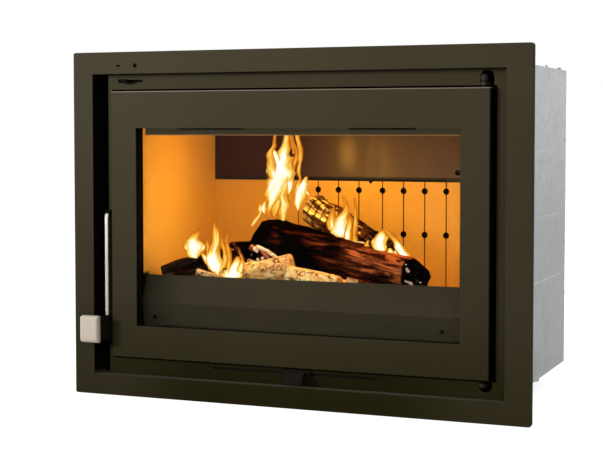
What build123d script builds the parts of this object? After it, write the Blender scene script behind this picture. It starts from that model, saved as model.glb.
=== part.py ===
from build123d import *
import os

# Wood-burning fireplace insert, millimetres.  X runs to the right and +Z up, seen from the room;
# +Y runs back into the chimney breast.  The origin is the middle of the footprint on the hearth.
# Depths are counted from the front face of the trim frame.

# ---------------------------------------------------------------- driving dimensions
TRIM_WIDTH = 800.0
TRIM_HEIGHT = 586.0
BACK_DEPTH = 500.0            # end of the outside-air spigot
GRIP_REACH = 20.0             # how far the handle stands in front of the trim
FRONT_Y = -(BACK_DEPTH - GRIP_REACH) / 2

TRIM_CORNER = 4.0
TRIM_RETURN = 12.0
TRIM_EDGE_ROUND = 1.0
SHEET = 3.0

APERTURE_LEFT = -363.0        # opening of the trim frame
APERTURE_RIGHT = 358.5
APERTURE_BOTTOM = 35.0
APERTURE_TOP = 549.0
TUNNEL_WALL = 2.5

FACE_DEPTH = 40.0             # front of the plate that the door seals on
FACE_THICKNESS = 5.0
FACE_WIDTH = 732.0
FACE_OPENING_WIDTH = 580.0
FACE_OPENING_BOTTOM = 98.0
FACE_OPENING_TOP = 478.0

FASCIA_DEPTH = 18.0
FASCIA_SHEET = 2.0
FASCIA_LEFT = -342.0
FASCIA_RIGHT = 357.0
FASCIA_CUT_LEFT = -334.5
FASCIA_CUT_RIGHT = 340.0
FASCIA_CUT_BOTTOM = 62.5
FASCIA_CUT_TOP = 523.0

DOOR_WIDTH = 662.8
DOOR_BOTTOM = 65.5
DOOR_TOP = 519.8
DOOR_FRONT = 8.0
DOOR_BACK = 34.0
WINDOW_WIDTH = 568.8
WINDOW_BOTTOM = 120.4
WINDOW_TOP = 457.2
WINDOW_RETURN_BACK = 24.0

GLASS_OVERLAP = 11.5
GLASS_FRONT = 25.5
GLASS_THICKNESS = 4.0

HINGE_X = 320.0
HINGE_DEPTH = 18.0
HINGE_PIN_R = 3.0
RUNNING_CLEARANCE = 0.07

HANDLE_X = -342.0
HANDLE_DEPTH = 12.0
SPINDLE_R = 2.5
BAR_WIDTH = 6.5
BAR_DEPTH = 9.0
BAR_BOTTOM = 136.5
BAR_TOP = 310.5

CHAMBER_HALF_WIDTH = 322.0
CHAMBER_BACK = 401.0
HEARTH_Z = 100.0
LINING_TOP = 470.0
BACK_PANEL_TOP = 358.0

SHELL_HALF_WIDTH = 346.0
SHELL_WALL = 4.0
SHELL_BOTTOM = 68.0
SHELL_TOP = 545.0
SHELL_BACK = 430.0

CASING_HALF_WIDTH = 355.5
CASING_SHEET = 1.5
CASING_BOTTOM = 32.0
CASING_TOP = 561.5
CASING_BACK = 456.0

FLUE_DEPTH = 300.0
FLUE_BORE_R = 75.3
FLUE_TOP = 596.0
FLUE_LEDGE = 4.0              # seat at the foot of the collar that stops the flue pipe
FLUE_LEDGE_HEIGHT = 5.0

FOOT_X = 300.0
FOOT_DEPTHS = (90.0, 410.0)

EPS = 0.3                     # assembly gap between neighbouring loose pieces

os.makedirs("parts", exist_ok=True)


# ---------------------------------------------------------------- helpers
def upright(depth):
    """Plane facing the room at a depth: X right, local Y up, normal towards the room."""
    return Plane(origin=(0, FRONT_Y + depth, 0), x_dir=(1, 0, 0), z_dir=(0, -1, 0))


def level(z):
    """Horizontal plane at height z; local Y is the world Y, which `at` gives for a depth."""
    return Plane.XY.offset(z)


def across(x):
    """Plane square to X: local X runs back in world Y, local Y up, normal towards +X."""
    return Plane(origin=(x, 0, 0), x_dir=(0, 1, 0), z_dir=(1, 0, 0))


def at(depth):
    """World Y of a depth behind the trim's front face."""
    return FRONT_Y + depth


def span_rectangle(x0, x1, y0, y1, mode=Mode.ADD):
    """Rectangle between two corners of the current sketch."""
    with Locations(((x0 + x1) / 2, (y0 + y1) / 2)):
        Rectangle(x1 - x0, y1 - y0, mode=mode)


def span_box(x0, x1, depth0, depth1, z0, z1, mode=Mode.ADD):
    """Box between two corners, the Y side given as depths."""
    with Locations(((x0 + x1) / 2, (at(depth0) + at(depth1)) / 2, (z0 + z1) / 2)):
        Box(x1 - x0, depth1 - depth0, z1 - z0, mode=mode)


def finish(piece, name):
    """Label a finished piece and write it under its own name."""
    piece.part.label = name
    export_step(piece.part, f"parts/{name}.step")


# ================================================================ trim and fascia
with BuildPart() as trim_frame:
    with BuildSketch(upright(0)):
        with Locations((0, TRIM_HEIGHT / 2)):
            RectangleRounded(TRIM_WIDTH, TRIM_HEIGHT, TRIM_CORNER)
        span_rectangle(APERTURE_LEFT, APERTURE_RIGHT, APERTURE_BOTTOM, APERTURE_TOP, Mode.SUBTRACT)
    extrude(amount=-SHEET)
    with BuildSketch(upright(0)):
        with Locations((0, TRIM_HEIGHT / 2)):
            RectangleRounded(TRIM_WIDTH, TRIM_HEIGHT, TRIM_CORNER)
            Rectangle(TRIM_WIDTH - 2 * SHEET, TRIM_HEIGHT - 2 * SHEET, mode=Mode.SUBTRACT)
    extrude(amount=-TRIM_RETURN)
    with BuildSketch(upright(0)):
        span_rectangle(APERTURE_LEFT - TUNNEL_WALL, APERTURE_RIGHT + TUNNEL_WALL,
                       APERTURE_BOTTOM - TUNNEL_WALL, APERTURE_TOP + TUNNEL_WALL)
        span_rectangle(APERTURE_LEFT, APERTURE_RIGHT, APERTURE_BOTTOM, APERTURE_TOP, Mode.SUBTRACT)
    extrude(amount=-FACE_DEPTH)
    front_rim = trim_frame.faces().sort_by(Axis.Y)[0].outer_wire().edges()
    fillet(front_rim, TRIM_EDGE_ROUND)
finish(trim_frame, "trim_frame")

HINGE_NOTCH_R = 11.0
HINGE_NOTCH_X = HINGE_X + 4.0
UPPER_NOTCH_Z = 536.0
LOWER_NOTCH_Z = 57.0
WASH_SLOT = (-323.0, -276.0, 535.0, 539.5)
PRIMARY_SLOT = (-143.0, 148.0, 53.5, 57.5)

with BuildPart() as front_fascia:
    with BuildSketch(upright(FASCIA_DEPTH)):
        span_rectangle(FASCIA_LEFT, FASCIA_RIGHT, APERTURE_BOTTOM + EPS, APERTURE_TOP - EPS)
        span_rectangle(FASCIA_CUT_LEFT, FASCIA_CUT_RIGHT, FASCIA_CUT_BOTTOM, FASCIA_CUT_TOP,
                       Mode.SUBTRACT)
        for notch_z in (UPPER_NOTCH_Z, LOWER_NOTCH_Z):
            with Locations((HINGE_NOTCH_X, notch_z)):
                Circle(HINGE_NOTCH_R, mode=Mode.SUBTRACT)
        span_rectangle(HINGE_NOTCH_X - HINGE_NOTCH_R, HINGE_NOTCH_X + HINGE_NOTCH_R,
                       FASCIA_CUT_TOP - EPS, UPPER_NOTCH_Z, Mode.SUBTRACT)
        for slot in (WASH_SLOT, PRIMARY_SLOT):
            span_rectangle(*slot, mode=Mode.SUBTRACT)
    extrude(amount=-FASCIA_SHEET)
    # The sheet is folded back all round and welded to the face plate.
    with BuildSketch(upright(FASCIA_DEPTH)):
        span_rectangle(FASCIA_LEFT, FASCIA_RIGHT, APERTURE_BOTTOM + EPS, APERTURE_TOP - EPS)
        span_rectangle(FASCIA_LEFT + FASCIA_SHEET, FASCIA_RIGHT - FASCIA_SHEET,
                       APERTURE_BOTTOM + EPS + FASCIA_SHEET, APERTURE_TOP - EPS - FASCIA_SHEET,
                       Mode.SUBTRACT)
    extrude(amount=-(FACE_DEPTH - FASCIA_DEPTH))
finish(front_fascia, "front_fascia")

# ================================================================ firebox
PORT_HEIGHT = 6.0
PRIMARY_PORTS = [(x, 55.0) for x in (-120.0, -60.0, 0.0, 60.0, 120.0)]
PRIMARY_PORT_WIDTH = 24.0
WASH_PORTS = [(x, 537.0) for x in (-310.0, -276.0, -242.0)]
WASH_PORT_WIDTH = 16.0

with BuildPart() as firebox_face:
    with BuildSketch(upright(FACE_DEPTH)):
        span_rectangle(-FACE_WIDTH / 2, FACE_WIDTH / 2, CASING_BOTTOM, CASING_TOP)
        span_rectangle(-FACE_OPENING_WIDTH / 2, FACE_OPENING_WIDTH / 2, FACE_OPENING_BOTTOM,
                       FACE_OPENING_TOP, Mode.SUBTRACT)
        with Locations(*PRIMARY_PORTS):
            Rectangle(PRIMARY_PORT_WIDTH, PORT_HEIGHT, mode=Mode.SUBTRACT)
        with Locations(*WASH_PORTS):
            Rectangle(WASH_PORT_WIDTH, PORT_HEIGHT, mode=Mode.SUBTRACT)
    extrude(amount=-FACE_THICKNESS)
finish(firebox_face, "firebox_face")

SHELL_FRONT = FACE_DEPTH + FACE_THICKNESS
ASH_MOUTH = (280.0, 180.0)
ASH_MOUTH_DEPTH = 225.0
DUCT_X = -200.0
DUCT_Z = 125.0
DUCT_HOLE_R = 40.0

with BuildPart() as firebox_shell:
    span_box(-SHELL_HALF_WIDTH, SHELL_HALF_WIDTH, SHELL_FRONT, SHELL_BACK, SHELL_BOTTOM, SHELL_TOP)
    span_box(-SHELL_HALF_WIDTH + SHELL_WALL, SHELL_HALF_WIDTH - SHELL_WALL, SHELL_FRONT,
             SHELL_BACK - SHELL_WALL, SHELL_BOTTOM + SHELL_WALL, SHELL_TOP - SHELL_WALL,
             Mode.SUBTRACT)
    with BuildSketch(level(SHELL_BOTTOM)):
        with Locations((0, at(ASH_MOUTH_DEPTH))):
            Rectangle(*ASH_MOUTH)
    extrude(amount=SHELL_WALL, mode=Mode.SUBTRACT)
    with BuildSketch(level(SHELL_TOP)):
        with Locations((0, at(FLUE_DEPTH))):
            Circle(FLUE_BORE_R - FLUE_LEDGE)
    extrude(amount=-SHELL_WALL, mode=Mode.SUBTRACT)
    with BuildSketch(upright(SHELL_BACK)):
        with Locations((DUCT_X, DUCT_Z)):
            Circle(DUCT_HOLE_R)
    extrude(amount=SHELL_WALL, mode=Mode.SUBTRACT)
finish(firebox_shell, "firebox_shell")

# ---------------------------------------------------------------- lining
BRICK_GAP = 0.4
SIDE_BRICK_THICKNESS = SHELL_HALF_WIDTH - SHELL_WALL - CHAMBER_HALF_WIDTH
SIDE_BRICK_FRONT = SHELL_FRONT + 1
RETAINING_GROOVE = (52.0, 55.0, 2.0)     # from, to, how deep

for side, sign in (("left", -1), ("right", 1)):
    with BuildPart() as side_brick:
        inner = sign * CHAMBER_HALF_WIDTH
        outer = sign * (CHAMBER_HALF_WIDTH + SIDE_BRICK_THICKNESS - EPS)
        x_low, x_high = min(inner, outer), max(inner, outer)
        span_box(x_low, x_high, SIDE_BRICK_FRONT, CHAMBER_BACK - BRICK_GAP, HEARTH_Z + BRICK_GAP,
                 LINING_TOP)
        groove_low, groove_high, groove_deep = RETAINING_GROOVE
        groove_inner = inner + sign * groove_deep
        span_box(min(inner, groove_inner), max(inner, groove_inner), groove_low, groove_high,
                 HEARTH_Z, LINING_TOP, Mode.SUBTRACT)
    finish(side_brick, f"side_brick_{side}")

BACK_BRICK_THICKNESS = 24.5
JET_R = 6.0
JET_ROWS = (341.0, 260.0)
JET_PITCH = 41.2
JET_FIRST = 23.5
JETS_PER_HALF = 4
GROOVE_WIDTH = 2.2
GROOVE_DEEP = 3.0
SEAM_NOTCH = 5.0

for side, sign in (("left", -1), ("right", 1)):
    jet_columns = [sign * (JET_FIRST + JET_PITCH * i) for i in range(JETS_PER_HALF)]
    with BuildPart() as back_brick:
        with BuildSketch(upright(CHAMBER_BACK)):
            seam = sign * BRICK_GAP / 2
            edge = sign * (SHELL_HALF_WIDTH - SHELL_WALL - EPS)
            with BuildLine():
                Polyline((seam, HEARTH_Z + BRICK_GAP), (edge, HEARTH_Z + BRICK_GAP),
                         (edge, BACK_PANEL_TOP), (sign * SEAM_NOTCH, BACK_PANEL_TOP),
                         (seam, BACK_PANEL_TOP - SEAM_NOTCH), close=True)
            make_face()
            with Locations(*[(x, z) for x in jet_columns for z in JET_ROWS]):
                Circle(JET_R, mode=Mode.SUBTRACT)
        extrude(amount=-BACK_BRICK_THICKNESS)
        with BuildSketch(upright(CHAMBER_BACK)):
            for x in jet_columns:
                span_rectangle(x - GROOVE_WIDTH / 2, x + GROOVE_WIDTH / 2, HEARTH_Z,
                               BACK_PANEL_TOP)
        extrude(amount=-GROOVE_DEEP, mode=Mode.SUBTRACT)
    finish(back_brick, f"back_brick_{side}")

FLOOR_BRICK_BOTTOM = SHELL_BOTTOM + SHELL_WALL
BRICK_CHAMFER = 1.5
GRATE_SIZE = (300.0, 200.0, 16.0)
GRATE_SEAT = 1.0                         # gap round the grate
FLOOR_X = SHELL_HALF_WIDTH - SHELL_WALL - EPS
GRATE_HALF_X = GRATE_SIZE[0] / 2 + GRATE_SEAT
GRATE_FRONT = ASH_MOUTH_DEPTH - GRATE_SIZE[1] / 2 - GRATE_SEAT
GRATE_BACK = ASH_MOUTH_DEPTH + GRATE_SIZE[1] / 2 + GRATE_SEAT
FLOOR_BACK = SHELL_BACK - SHELL_WALL - EPS
end_x = GRATE_HALF_X - BRICK_GAP
floor_bricks = {
    "floor_bricks_side": [(-FLOOR_X, -GRATE_HALF_X, SIDE_BRICK_FRONT, FLOOR_BACK),
                          (GRATE_HALF_X, FLOOR_X, SIDE_BRICK_FRONT, FLOOR_BACK)],
    "floor_bricks_end": [(-end_x, end_x, SIDE_BRICK_FRONT, GRATE_FRONT),
                         (-end_x, end_x, GRATE_BACK, FLOOR_BACK)],
}
for name, spans in floor_bricks.items():
    with BuildPart() as floor_brick:
        for x_low, x_high, depth_low, depth_high in spans:
            span_box(x_low, x_high, depth_low, depth_high, FLOOR_BRICK_BOTTOM, HEARTH_Z)
        chamfer(floor_brick.faces().filter_by(Axis.Z).group_by(Axis.Z)[-1].edges(), BRICK_CHAMFER)
    finish(floor_brick, name)

GRATE_RIM = 18.0
GRATE_CORNER = 6.0
GRATE_SLOTS = 11
GRATE_SLOT_WIDTH = 11.0
GRATE_SLOT_PITCH = 23.5

with BuildPart() as grate:
    with BuildSketch(level(FLOOR_BRICK_BOTTOM)):
        with Locations((0, at(ASH_MOUTH_DEPTH))):
            RectangleRounded(GRATE_SIZE[0], GRATE_SIZE[1], GRATE_CORNER)
            with GridLocations(GRATE_SLOT_PITCH, 0, GRATE_SLOTS, 1):
                SlotOverall(GRATE_SIZE[1] - 2 * GRATE_RIM, GRATE_SLOT_WIDTH, rotation=90,
                            mode=Mode.SUBTRACT)
    extrude(amount=GRATE_SIZE[2])
finish(grate, "grate")

ASH_BOX_FLOOR = 36.0
ASH_BOX_RIM = 6.0             # how far the box reaches past the mouth all round
ASH_SHEET = 1.5
with BuildPart() as ash_box:
    half_x = ASH_MOUTH[0] / 2 + ASH_BOX_RIM
    half_y = ASH_MOUTH[1] / 2 + ASH_BOX_RIM
    span_box(-half_x, half_x, ASH_MOUTH_DEPTH - half_y, ASH_MOUTH_DEPTH + half_y, ASH_BOX_FLOOR,
             SHELL_BOTTOM)
    span_box(-half_x + ASH_SHEET, half_x - ASH_SHEET, ASH_MOUTH_DEPTH - half_y + ASH_SHEET,
             ASH_MOUTH_DEPTH + half_y - ASH_SHEET, ASH_BOX_FLOOR + ASH_SHEET, SHELL_BOTTOM,
             Mode.SUBTRACT)
finish(ash_box, "ash_box")

ASH_PAN_BOTTOM = ASH_BOX_FLOOR + ASH_SHEET + EPS
ASH_PAN_TOP = 67.0
ASH_PAN_MOUTH = (272.0, 172.0, 10.0)     # width, length and corner at the top
ASH_PAN_FLOOR = (260.0, 160.0, 8.0)
with BuildPart() as ash_pan:
    with BuildSketch(level(ASH_PAN_BOTTOM)):
        with Locations((0, at(ASH_MOUTH_DEPTH))):
            RectangleRounded(*ASH_PAN_FLOOR)
    with BuildSketch(level(ASH_PAN_TOP)):
        with Locations((0, at(ASH_MOUTH_DEPTH))):
            RectangleRounded(*ASH_PAN_MOUTH)
    loft()
    offset(amount=-ASH_SHEET, openings=ash_pan.faces().sort_by(Axis.Z)[-1])
finish(ash_pan, "ash_pan")

PLATE_DEPTH = 397.0
PLATE_BOTTOM = 363.0
PLATE_LEG_X = 149.0           # outside this the plate stands down on the back panels
PLATE_FOLD = 20.0
PLATE_PLAY = 1.0              # left free at the plate's ends and top
with BuildPart() as upper_back_plate:
    with BuildSketch(upright(PLATE_DEPTH)):
        plate_edge = CHAMBER_HALF_WIDTH - PLATE_PLAY
        span_rectangle(-plate_edge, plate_edge, BACK_PANEL_TOP + EPS, LINING_TOP - PLATE_PLAY)
        span_rectangle(-PLATE_LEG_X, PLATE_LEG_X, BACK_PANEL_TOP, PLATE_BOTTOM, Mode.SUBTRACT)
    extrude(amount=-SHEET)
    # Between the legs the lower edge is folded back over the back panels.
    span_box(-PLATE_LEG_X, PLATE_LEG_X, PLATE_DEPTH, PLATE_DEPTH + PLATE_FOLD, PLATE_BOTTOM,
             PLATE_BOTTOM + SHEET)
finish(upper_back_plate, "upper_back_plate")

BAFFLE_THICKNESS = 22.0
BAFFLE_FRONT = 150.0
with BuildPart() as baffle_slabs:
    for sign in (-1, 1):
        with BuildSketch(across(sign * BRICK_GAP / 2)):
            with BuildLine():
                Polyline((at(BAFFLE_FRONT), LINING_TOP + BRICK_GAP),
                         (at(FLOOR_BACK), LINING_TOP + BRICK_GAP),
                         (at(FLOOR_BACK), LINING_TOP + BRICK_GAP + BAFFLE_THICKNESS),
                         (at(BAFFLE_FRONT) + BAFFLE_THICKNESS / 2,
                          LINING_TOP + BRICK_GAP + BAFFLE_THICKNESS),
                         (at(BAFFLE_FRONT), LINING_TOP + BRICK_GAP + BAFFLE_THICKNESS / 2),
                         close=True)
            make_face()
        extrude(amount=sign * (FLOOR_X - BRICK_GAP / 2))
finish(baffle_slabs, "baffle_slabs")

DEFLECTOR_Z = 512.0
DEFLECTOR_LIP = (SHELL_FRONT + 5.0, DEFLECTOR_Z + 18.0)
DEFLECTOR_KNEE = SHELL_FRONT + 34.0
DEFLECTOR_BACK = FLUE_DEPTH + 30.0
with BuildPart() as smoke_deflector:
    with BuildSketch(across(0)):
        with BuildLine():
            Polyline((at(DEFLECTOR_LIP[0]), DEFLECTOR_LIP[1]), (at(DEFLECTOR_KNEE), DEFLECTOR_Z),
                     (at(DEFLECTOR_BACK), DEFLECTOR_Z))
            offset(amount=SHEET, side=Side.RIGHT, kind=Kind.INTERSECTION)
        make_face()
    extrude(amount=FLOOR_X, both=True)
finish(smoke_deflector, "smoke_deflector")

WASH_STRIP_DEPTH = 37.0
WASH_STRIP_BOTTOM = 445.0
WASH_STRIP_HALF = 281.0
WASH_STRIP_SLOTS = ((-218.0, -97.5), (90.0, 204.0))
WASH_STRIP_SLOT_Z = 455.8
WASH_STRIP_SLOT_HEIGHT = 3.2
WASH_CHANNEL_BACK = 47.0      # back of the channel that the slots open out of
WASH_CHANNEL_TOP = 469.0
WASH_HANGER_BACK = 63.0
with BuildPart() as airwash_deflector:
    with BuildSketch(upright(WASH_STRIP_DEPTH)):
        span_rectangle(-WASH_STRIP_HALF, WASH_STRIP_HALF, WASH_STRIP_BOTTOM, FACE_OPENING_TOP - EPS)
        for slot_left, slot_right in WASH_STRIP_SLOTS:
            with Locations(((slot_left + slot_right) / 2, WASH_STRIP_SLOT_Z)):
                SlotOverall(slot_right - slot_left, WASH_STRIP_SLOT_HEIGHT, mode=Mode.SUBTRACT)
    extrude(amount=-FASCIA_SHEET)
    span_box(-WASH_STRIP_HALF, WASH_STRIP_HALF, WASH_STRIP_DEPTH, WASH_HANGER_BACK,
             FACE_OPENING_TOP - EPS - FASCIA_SHEET, FACE_OPENING_TOP - EPS)
    span_box(-WASH_STRIP_HALF, WASH_STRIP_HALF, WASH_STRIP_DEPTH, WASH_CHANNEL_BACK,
             WASH_STRIP_BOTTOM, WASH_STRIP_BOTTOM + FASCIA_SHEET)
    span_box(-WASH_STRIP_HALF, WASH_STRIP_HALF, WASH_CHANNEL_BACK - FASCIA_SHEET,
             WASH_CHANNEL_BACK, WASH_STRIP_BOTTOM, WASH_CHANNEL_TOP)
finish(airwash_deflector, "airwash_deflector")

# Folded plate that keeps the logs off the glass, seen from the side as three runs.
GUARD_HALF = 289.2
GUARD_SHEET = 1.8
GUARD_FOOT = (47.0, HEARTH_Z + 1.5)
GUARD_RIDGE = (36.8, 157.5)
GUARD_CREST = (55.5, 204.5)
GUARD_FOOT_LENGTH = 24.0
GUARD_SCREWS = ((-266.6, 133.2), (246.8, 133.2))
GUARD_SCREW_HOLE_R = 2.0
with BuildPart() as log_guard:
    with BuildSketch(across(0)):
        with BuildLine():
            Polyline((at(GUARD_FOOT[0] + GUARD_FOOT_LENGTH), GUARD_FOOT[1]),
                     (at(GUARD_FOOT[0]), GUARD_FOOT[1]), (at(GUARD_RIDGE[0]), GUARD_RIDGE[1]),
                     (at(GUARD_CREST[0]), GUARD_CREST[1]))
            offset(amount=GUARD_SHEET, side=Side.RIGHT, kind=Kind.INTERSECTION)
        make_face()
    extrude(amount=GUARD_HALF, both=True)
    with BuildSketch(upright(GUARD_RIDGE[0])):
        with Locations(*GUARD_SCREWS):
            Circle(GUARD_SCREW_HOLE_R)
    extrude(amount=GUARD_RIDGE[0] - GUARD_FOOT[0] - GUARD_SHEET, mode=Mode.SUBTRACT)
finish(log_guard, "log_guard")

# ================================================================ casing, flue and spigots
CASING_FRONT = SHELL_FRONT
SPIGOT_R = 60.0
SPIGOT_WALL = 1.5
SPIGOT_X = 230.0
SPIGOT_TOP = 594.0
SPIGOT_FLANGE = 10.0
INTAKE_R = 50.0
INTAKE_FLANGE = 9.0
CASING_FLANGE = 9.0
BEAD = (14.0, 1.2)            # width and height of the stiffening beads
SIDE_BEAD_LENGTH = 330.0
SIDE_BEAD_Z = (190.0, 300.0, 410.0)
BACK_BEAD_LENGTH = 600.0
BACK_BEAD_Z = (250.0, 350.0, 450.0)

for side, sign in (("left", -1), ("right", 1)):
    with BuildPart() as casing_side:
        sheet_x = sorted((sign * CASING_HALF_WIDTH, sign * (CASING_HALF_WIDTH - CASING_SHEET)))
        span_box(*sheet_x, CASING_FRONT, CASING_BACK - CASING_SHEET,
                 CASING_BOTTOM + CASING_SHEET, CASING_TOP - CASING_SHEET)
        flange_x = sorted((sign * CASING_HALF_WIDTH, sign * (CASING_HALF_WIDTH - CASING_FLANGE)))
        span_box(*flange_x, CASING_BACK - 2 * CASING_SHEET, CASING_BACK - CASING_SHEET,
                 CASING_BOTTOM + CASING_SHEET, CASING_TOP - CASING_SHEET)
        with BuildSketch(across(sign * CASING_HALF_WIDTH)):
            with Locations(*[(at((CASING_FRONT + CASING_BACK) / 2), z) for z in SIDE_BEAD_Z]):
                SlotOverall(SIDE_BEAD_LENGTH, BEAD[0])
        extrude(amount=sign * BEAD[1])
    finish(casing_side, f"casing_{side}")

VENT_Z = 520.0
VENT_SLOT = (40.0, 8.0)
VENT_PITCH = 60.0
VENT_COUNT = 9
with BuildPart() as casing_back:
    with BuildSketch(upright(CASING_BACK)):
        span_rectangle(-CASING_HALF_WIDTH, CASING_HALF_WIDTH, CASING_BOTTOM + CASING_SHEET,
                       CASING_TOP - CASING_SHEET)
        with Locations((DUCT_X, DUCT_Z)):
            Circle(INTAKE_R - SPIGOT_WALL, mode=Mode.SUBTRACT)
        with Locations((0, VENT_Z)):
            with GridLocations(VENT_PITCH, 0, VENT_COUNT, 1):
                SlotOverall(*VENT_SLOT, mode=Mode.SUBTRACT)
    extrude(amount=CASING_SHEET)
    with BuildSketch(upright(CASING_BACK)):
        with Locations(*[(0, z) for z in BACK_BEAD_Z]):
            SlotOverall(BACK_BEAD_LENGTH, BEAD[0])
    extrude(amount=-BEAD[1])
finish(casing_back, "casing_back")

FLUE_CLEARANCE = 8.0
with BuildPart() as casing_top:
    with BuildSketch(level(CASING_TOP - CASING_SHEET)):
        span_rectangle(-CASING_HALF_WIDTH, CASING_HALF_WIDTH, at(CASING_FRONT), at(CASING_BACK))
        with Locations((0, at(FLUE_DEPTH))):
            Circle(FLUE_BORE_R + FLUE_CLEARANCE, mode=Mode.SUBTRACT)
        with Locations((-SPIGOT_X, at(FLUE_DEPTH)), (SPIGOT_X, at(FLUE_DEPTH))):
            Circle(SPIGOT_R - SPIGOT_WALL, mode=Mode.SUBTRACT)
    extrude(amount=CASING_SHEET)
finish(casing_top, "casing_top")

FOOT_ROD_R = 5.0
BASE_SLOT = (90.0, 8.0)
BASE_SLOT_PITCH = 16.0
BASE_SLOT_X = 230.0
BASE_SLOT_DEPTHS = (150.0, 350.0)
with BuildPart() as casing_base:
    with BuildSketch(level(CASING_BOTTOM)):
        span_rectangle(-CASING_HALF_WIDTH, CASING_HALF_WIDTH, at(CASING_FRONT), at(CASING_BACK))
        with Locations(*[(sign * FOOT_X, at(d)) for sign in (-1, 1) for d in FOOT_DEPTHS]):
            Circle(FOOT_ROD_R + BRICK_GAP, mode=Mode.SUBTRACT)
        for slot_depth in BASE_SLOT_DEPTHS:
            with Locations((-BASE_SLOT_X, at(slot_depth)), (BASE_SLOT_X, at(slot_depth))):
                with GridLocations(0, BASE_SLOT_PITCH, 1, 3):
                    SlotOverall(*BASE_SLOT, mode=Mode.SUBTRACT)
    extrude(amount=CASING_SHEET)
finish(casing_base, "casing_base")

FLUE_WALL = 3.0
FLUE_FLANGE = 14.0
with BuildPart() as flue_collar:
    with BuildSketch(Plane.XZ):
        with BuildLine():
            Polyline((FLUE_BORE_R - FLUE_LEDGE, SHELL_TOP),
                     (FLUE_BORE_R + FLUE_WALL + FLUE_FLANGE, SHELL_TOP),
                     (FLUE_BORE_R + FLUE_WALL + FLUE_FLANGE, SHELL_TOP + SHEET),
                     (FLUE_BORE_R + FLUE_WALL, SHELL_TOP + SHEET),
                     (FLUE_BORE_R + FLUE_WALL, FLUE_TOP), (FLUE_BORE_R, FLUE_TOP),
                     (FLUE_BORE_R, SHELL_TOP + FLUE_LEDGE_HEIGHT),
                     (FLUE_BORE_R - FLUE_LEDGE, SHELL_TOP + FLUE_LEDGE_HEIGHT), close=True)
        make_face()
    revolve(axis=Axis.Z)
flue_collar.part = flue_collar.part.translate((0, at(FLUE_DEPTH), 0))
finish(flue_collar, "flue_collar")

with BuildPart() as hot_air_spigots:
    for outer_r, height in ((SPIGOT_R + SPIGOT_FLANGE, CASING_SHEET),
                            (SPIGOT_R, SPIGOT_TOP - CASING_TOP)):
        with BuildSketch(level(CASING_TOP)):
            with Locations((-SPIGOT_X, at(FLUE_DEPTH)), (SPIGOT_X, at(FLUE_DEPTH))):
                Circle(outer_r)
                Circle(SPIGOT_R - SPIGOT_WALL, mode=Mode.SUBTRACT)
        extrude(amount=height)
finish(hot_air_spigots, "hot_air_spigots")

with BuildPart() as air_intake_spigot:
    with BuildSketch(upright(CASING_BACK)):
        with Locations((DUCT_X, DUCT_Z)):
            Circle(INTAKE_R + INTAKE_FLANGE)
            Circle(INTAKE_R - SPIGOT_WALL, mode=Mode.SUBTRACT)
    extrude(amount=-CASING_SHEET)
    with BuildSketch(upright(CASING_BACK)):
        with Locations((DUCT_X, DUCT_Z)):
            Circle(INTAKE_R)
            Circle(INTAKE_R - SPIGOT_WALL, mode=Mode.SUBTRACT)
    extrude(amount=-(BACK_DEPTH - CASING_BACK))
finish(air_intake_spigot, "air_intake_spigot")

# Duct that carries the outside air from the spigot across the convection gap.
DUCT_SIZE = (112.0, 100.0)
with BuildPart() as air_duct:
    with BuildSketch(upright(SHELL_BACK)):
        with Locations((DUCT_X, DUCT_Z)):
            Rectangle(*DUCT_SIZE)
            Rectangle(DUCT_SIZE[0] - 2 * CASING_SHEET, DUCT_SIZE[1] - 2 * CASING_SHEET,
                      mode=Mode.SUBTRACT)
    extrude(amount=-(CASING_BACK - CASING_SHEET - SHELL_BACK))
finish(air_duct, "air_duct")

FOOT_PAD_R = 20.0
FOOT_PAD_HEIGHT = 6.0
FOOT_PAD_SLOPE = 8.0          # degrees
FOOT_ROD_TOP = 48.0
with BuildPart() as levelling_feet:
    for sign in (-1, 1):
        for foot_depth in FOOT_DEPTHS:
            with BuildSketch(level(0)):
                with Locations((sign * FOOT_X, at(foot_depth))):
                    Circle(FOOT_PAD_R)
            extrude(amount=FOOT_PAD_HEIGHT, taper=FOOT_PAD_SLOPE)
            with BuildSketch(level(FOOT_PAD_HEIGHT)):
                with Locations((sign * FOOT_X, at(foot_depth))):
                    Circle(FOOT_ROD_R)
            extrude(amount=FOOT_ROD_TOP - FOOT_PAD_HEIGHT)
finish(levelling_feet, "levelling_feet")

NUT_RADIUS = 9.8
NUT_HEIGHT = 8.0
NUT_CLEARANCE = 0.05
with BuildPart() as foot_nuts:
    for sign in (-1, 1):
        for foot_depth in FOOT_DEPTHS:
            with BuildSketch(level(CASING_BOTTOM - NUT_HEIGHT)):
                with Locations((sign * FOOT_X, at(foot_depth))):
                    RegularPolygon(NUT_RADIUS, 6)
                    Circle(FOOT_ROD_R + NUT_CLEARANCE, mode=Mode.SUBTRACT)
            extrude(amount=NUT_HEIGHT)
finish(foot_nuts, "foot_nuts")

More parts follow.
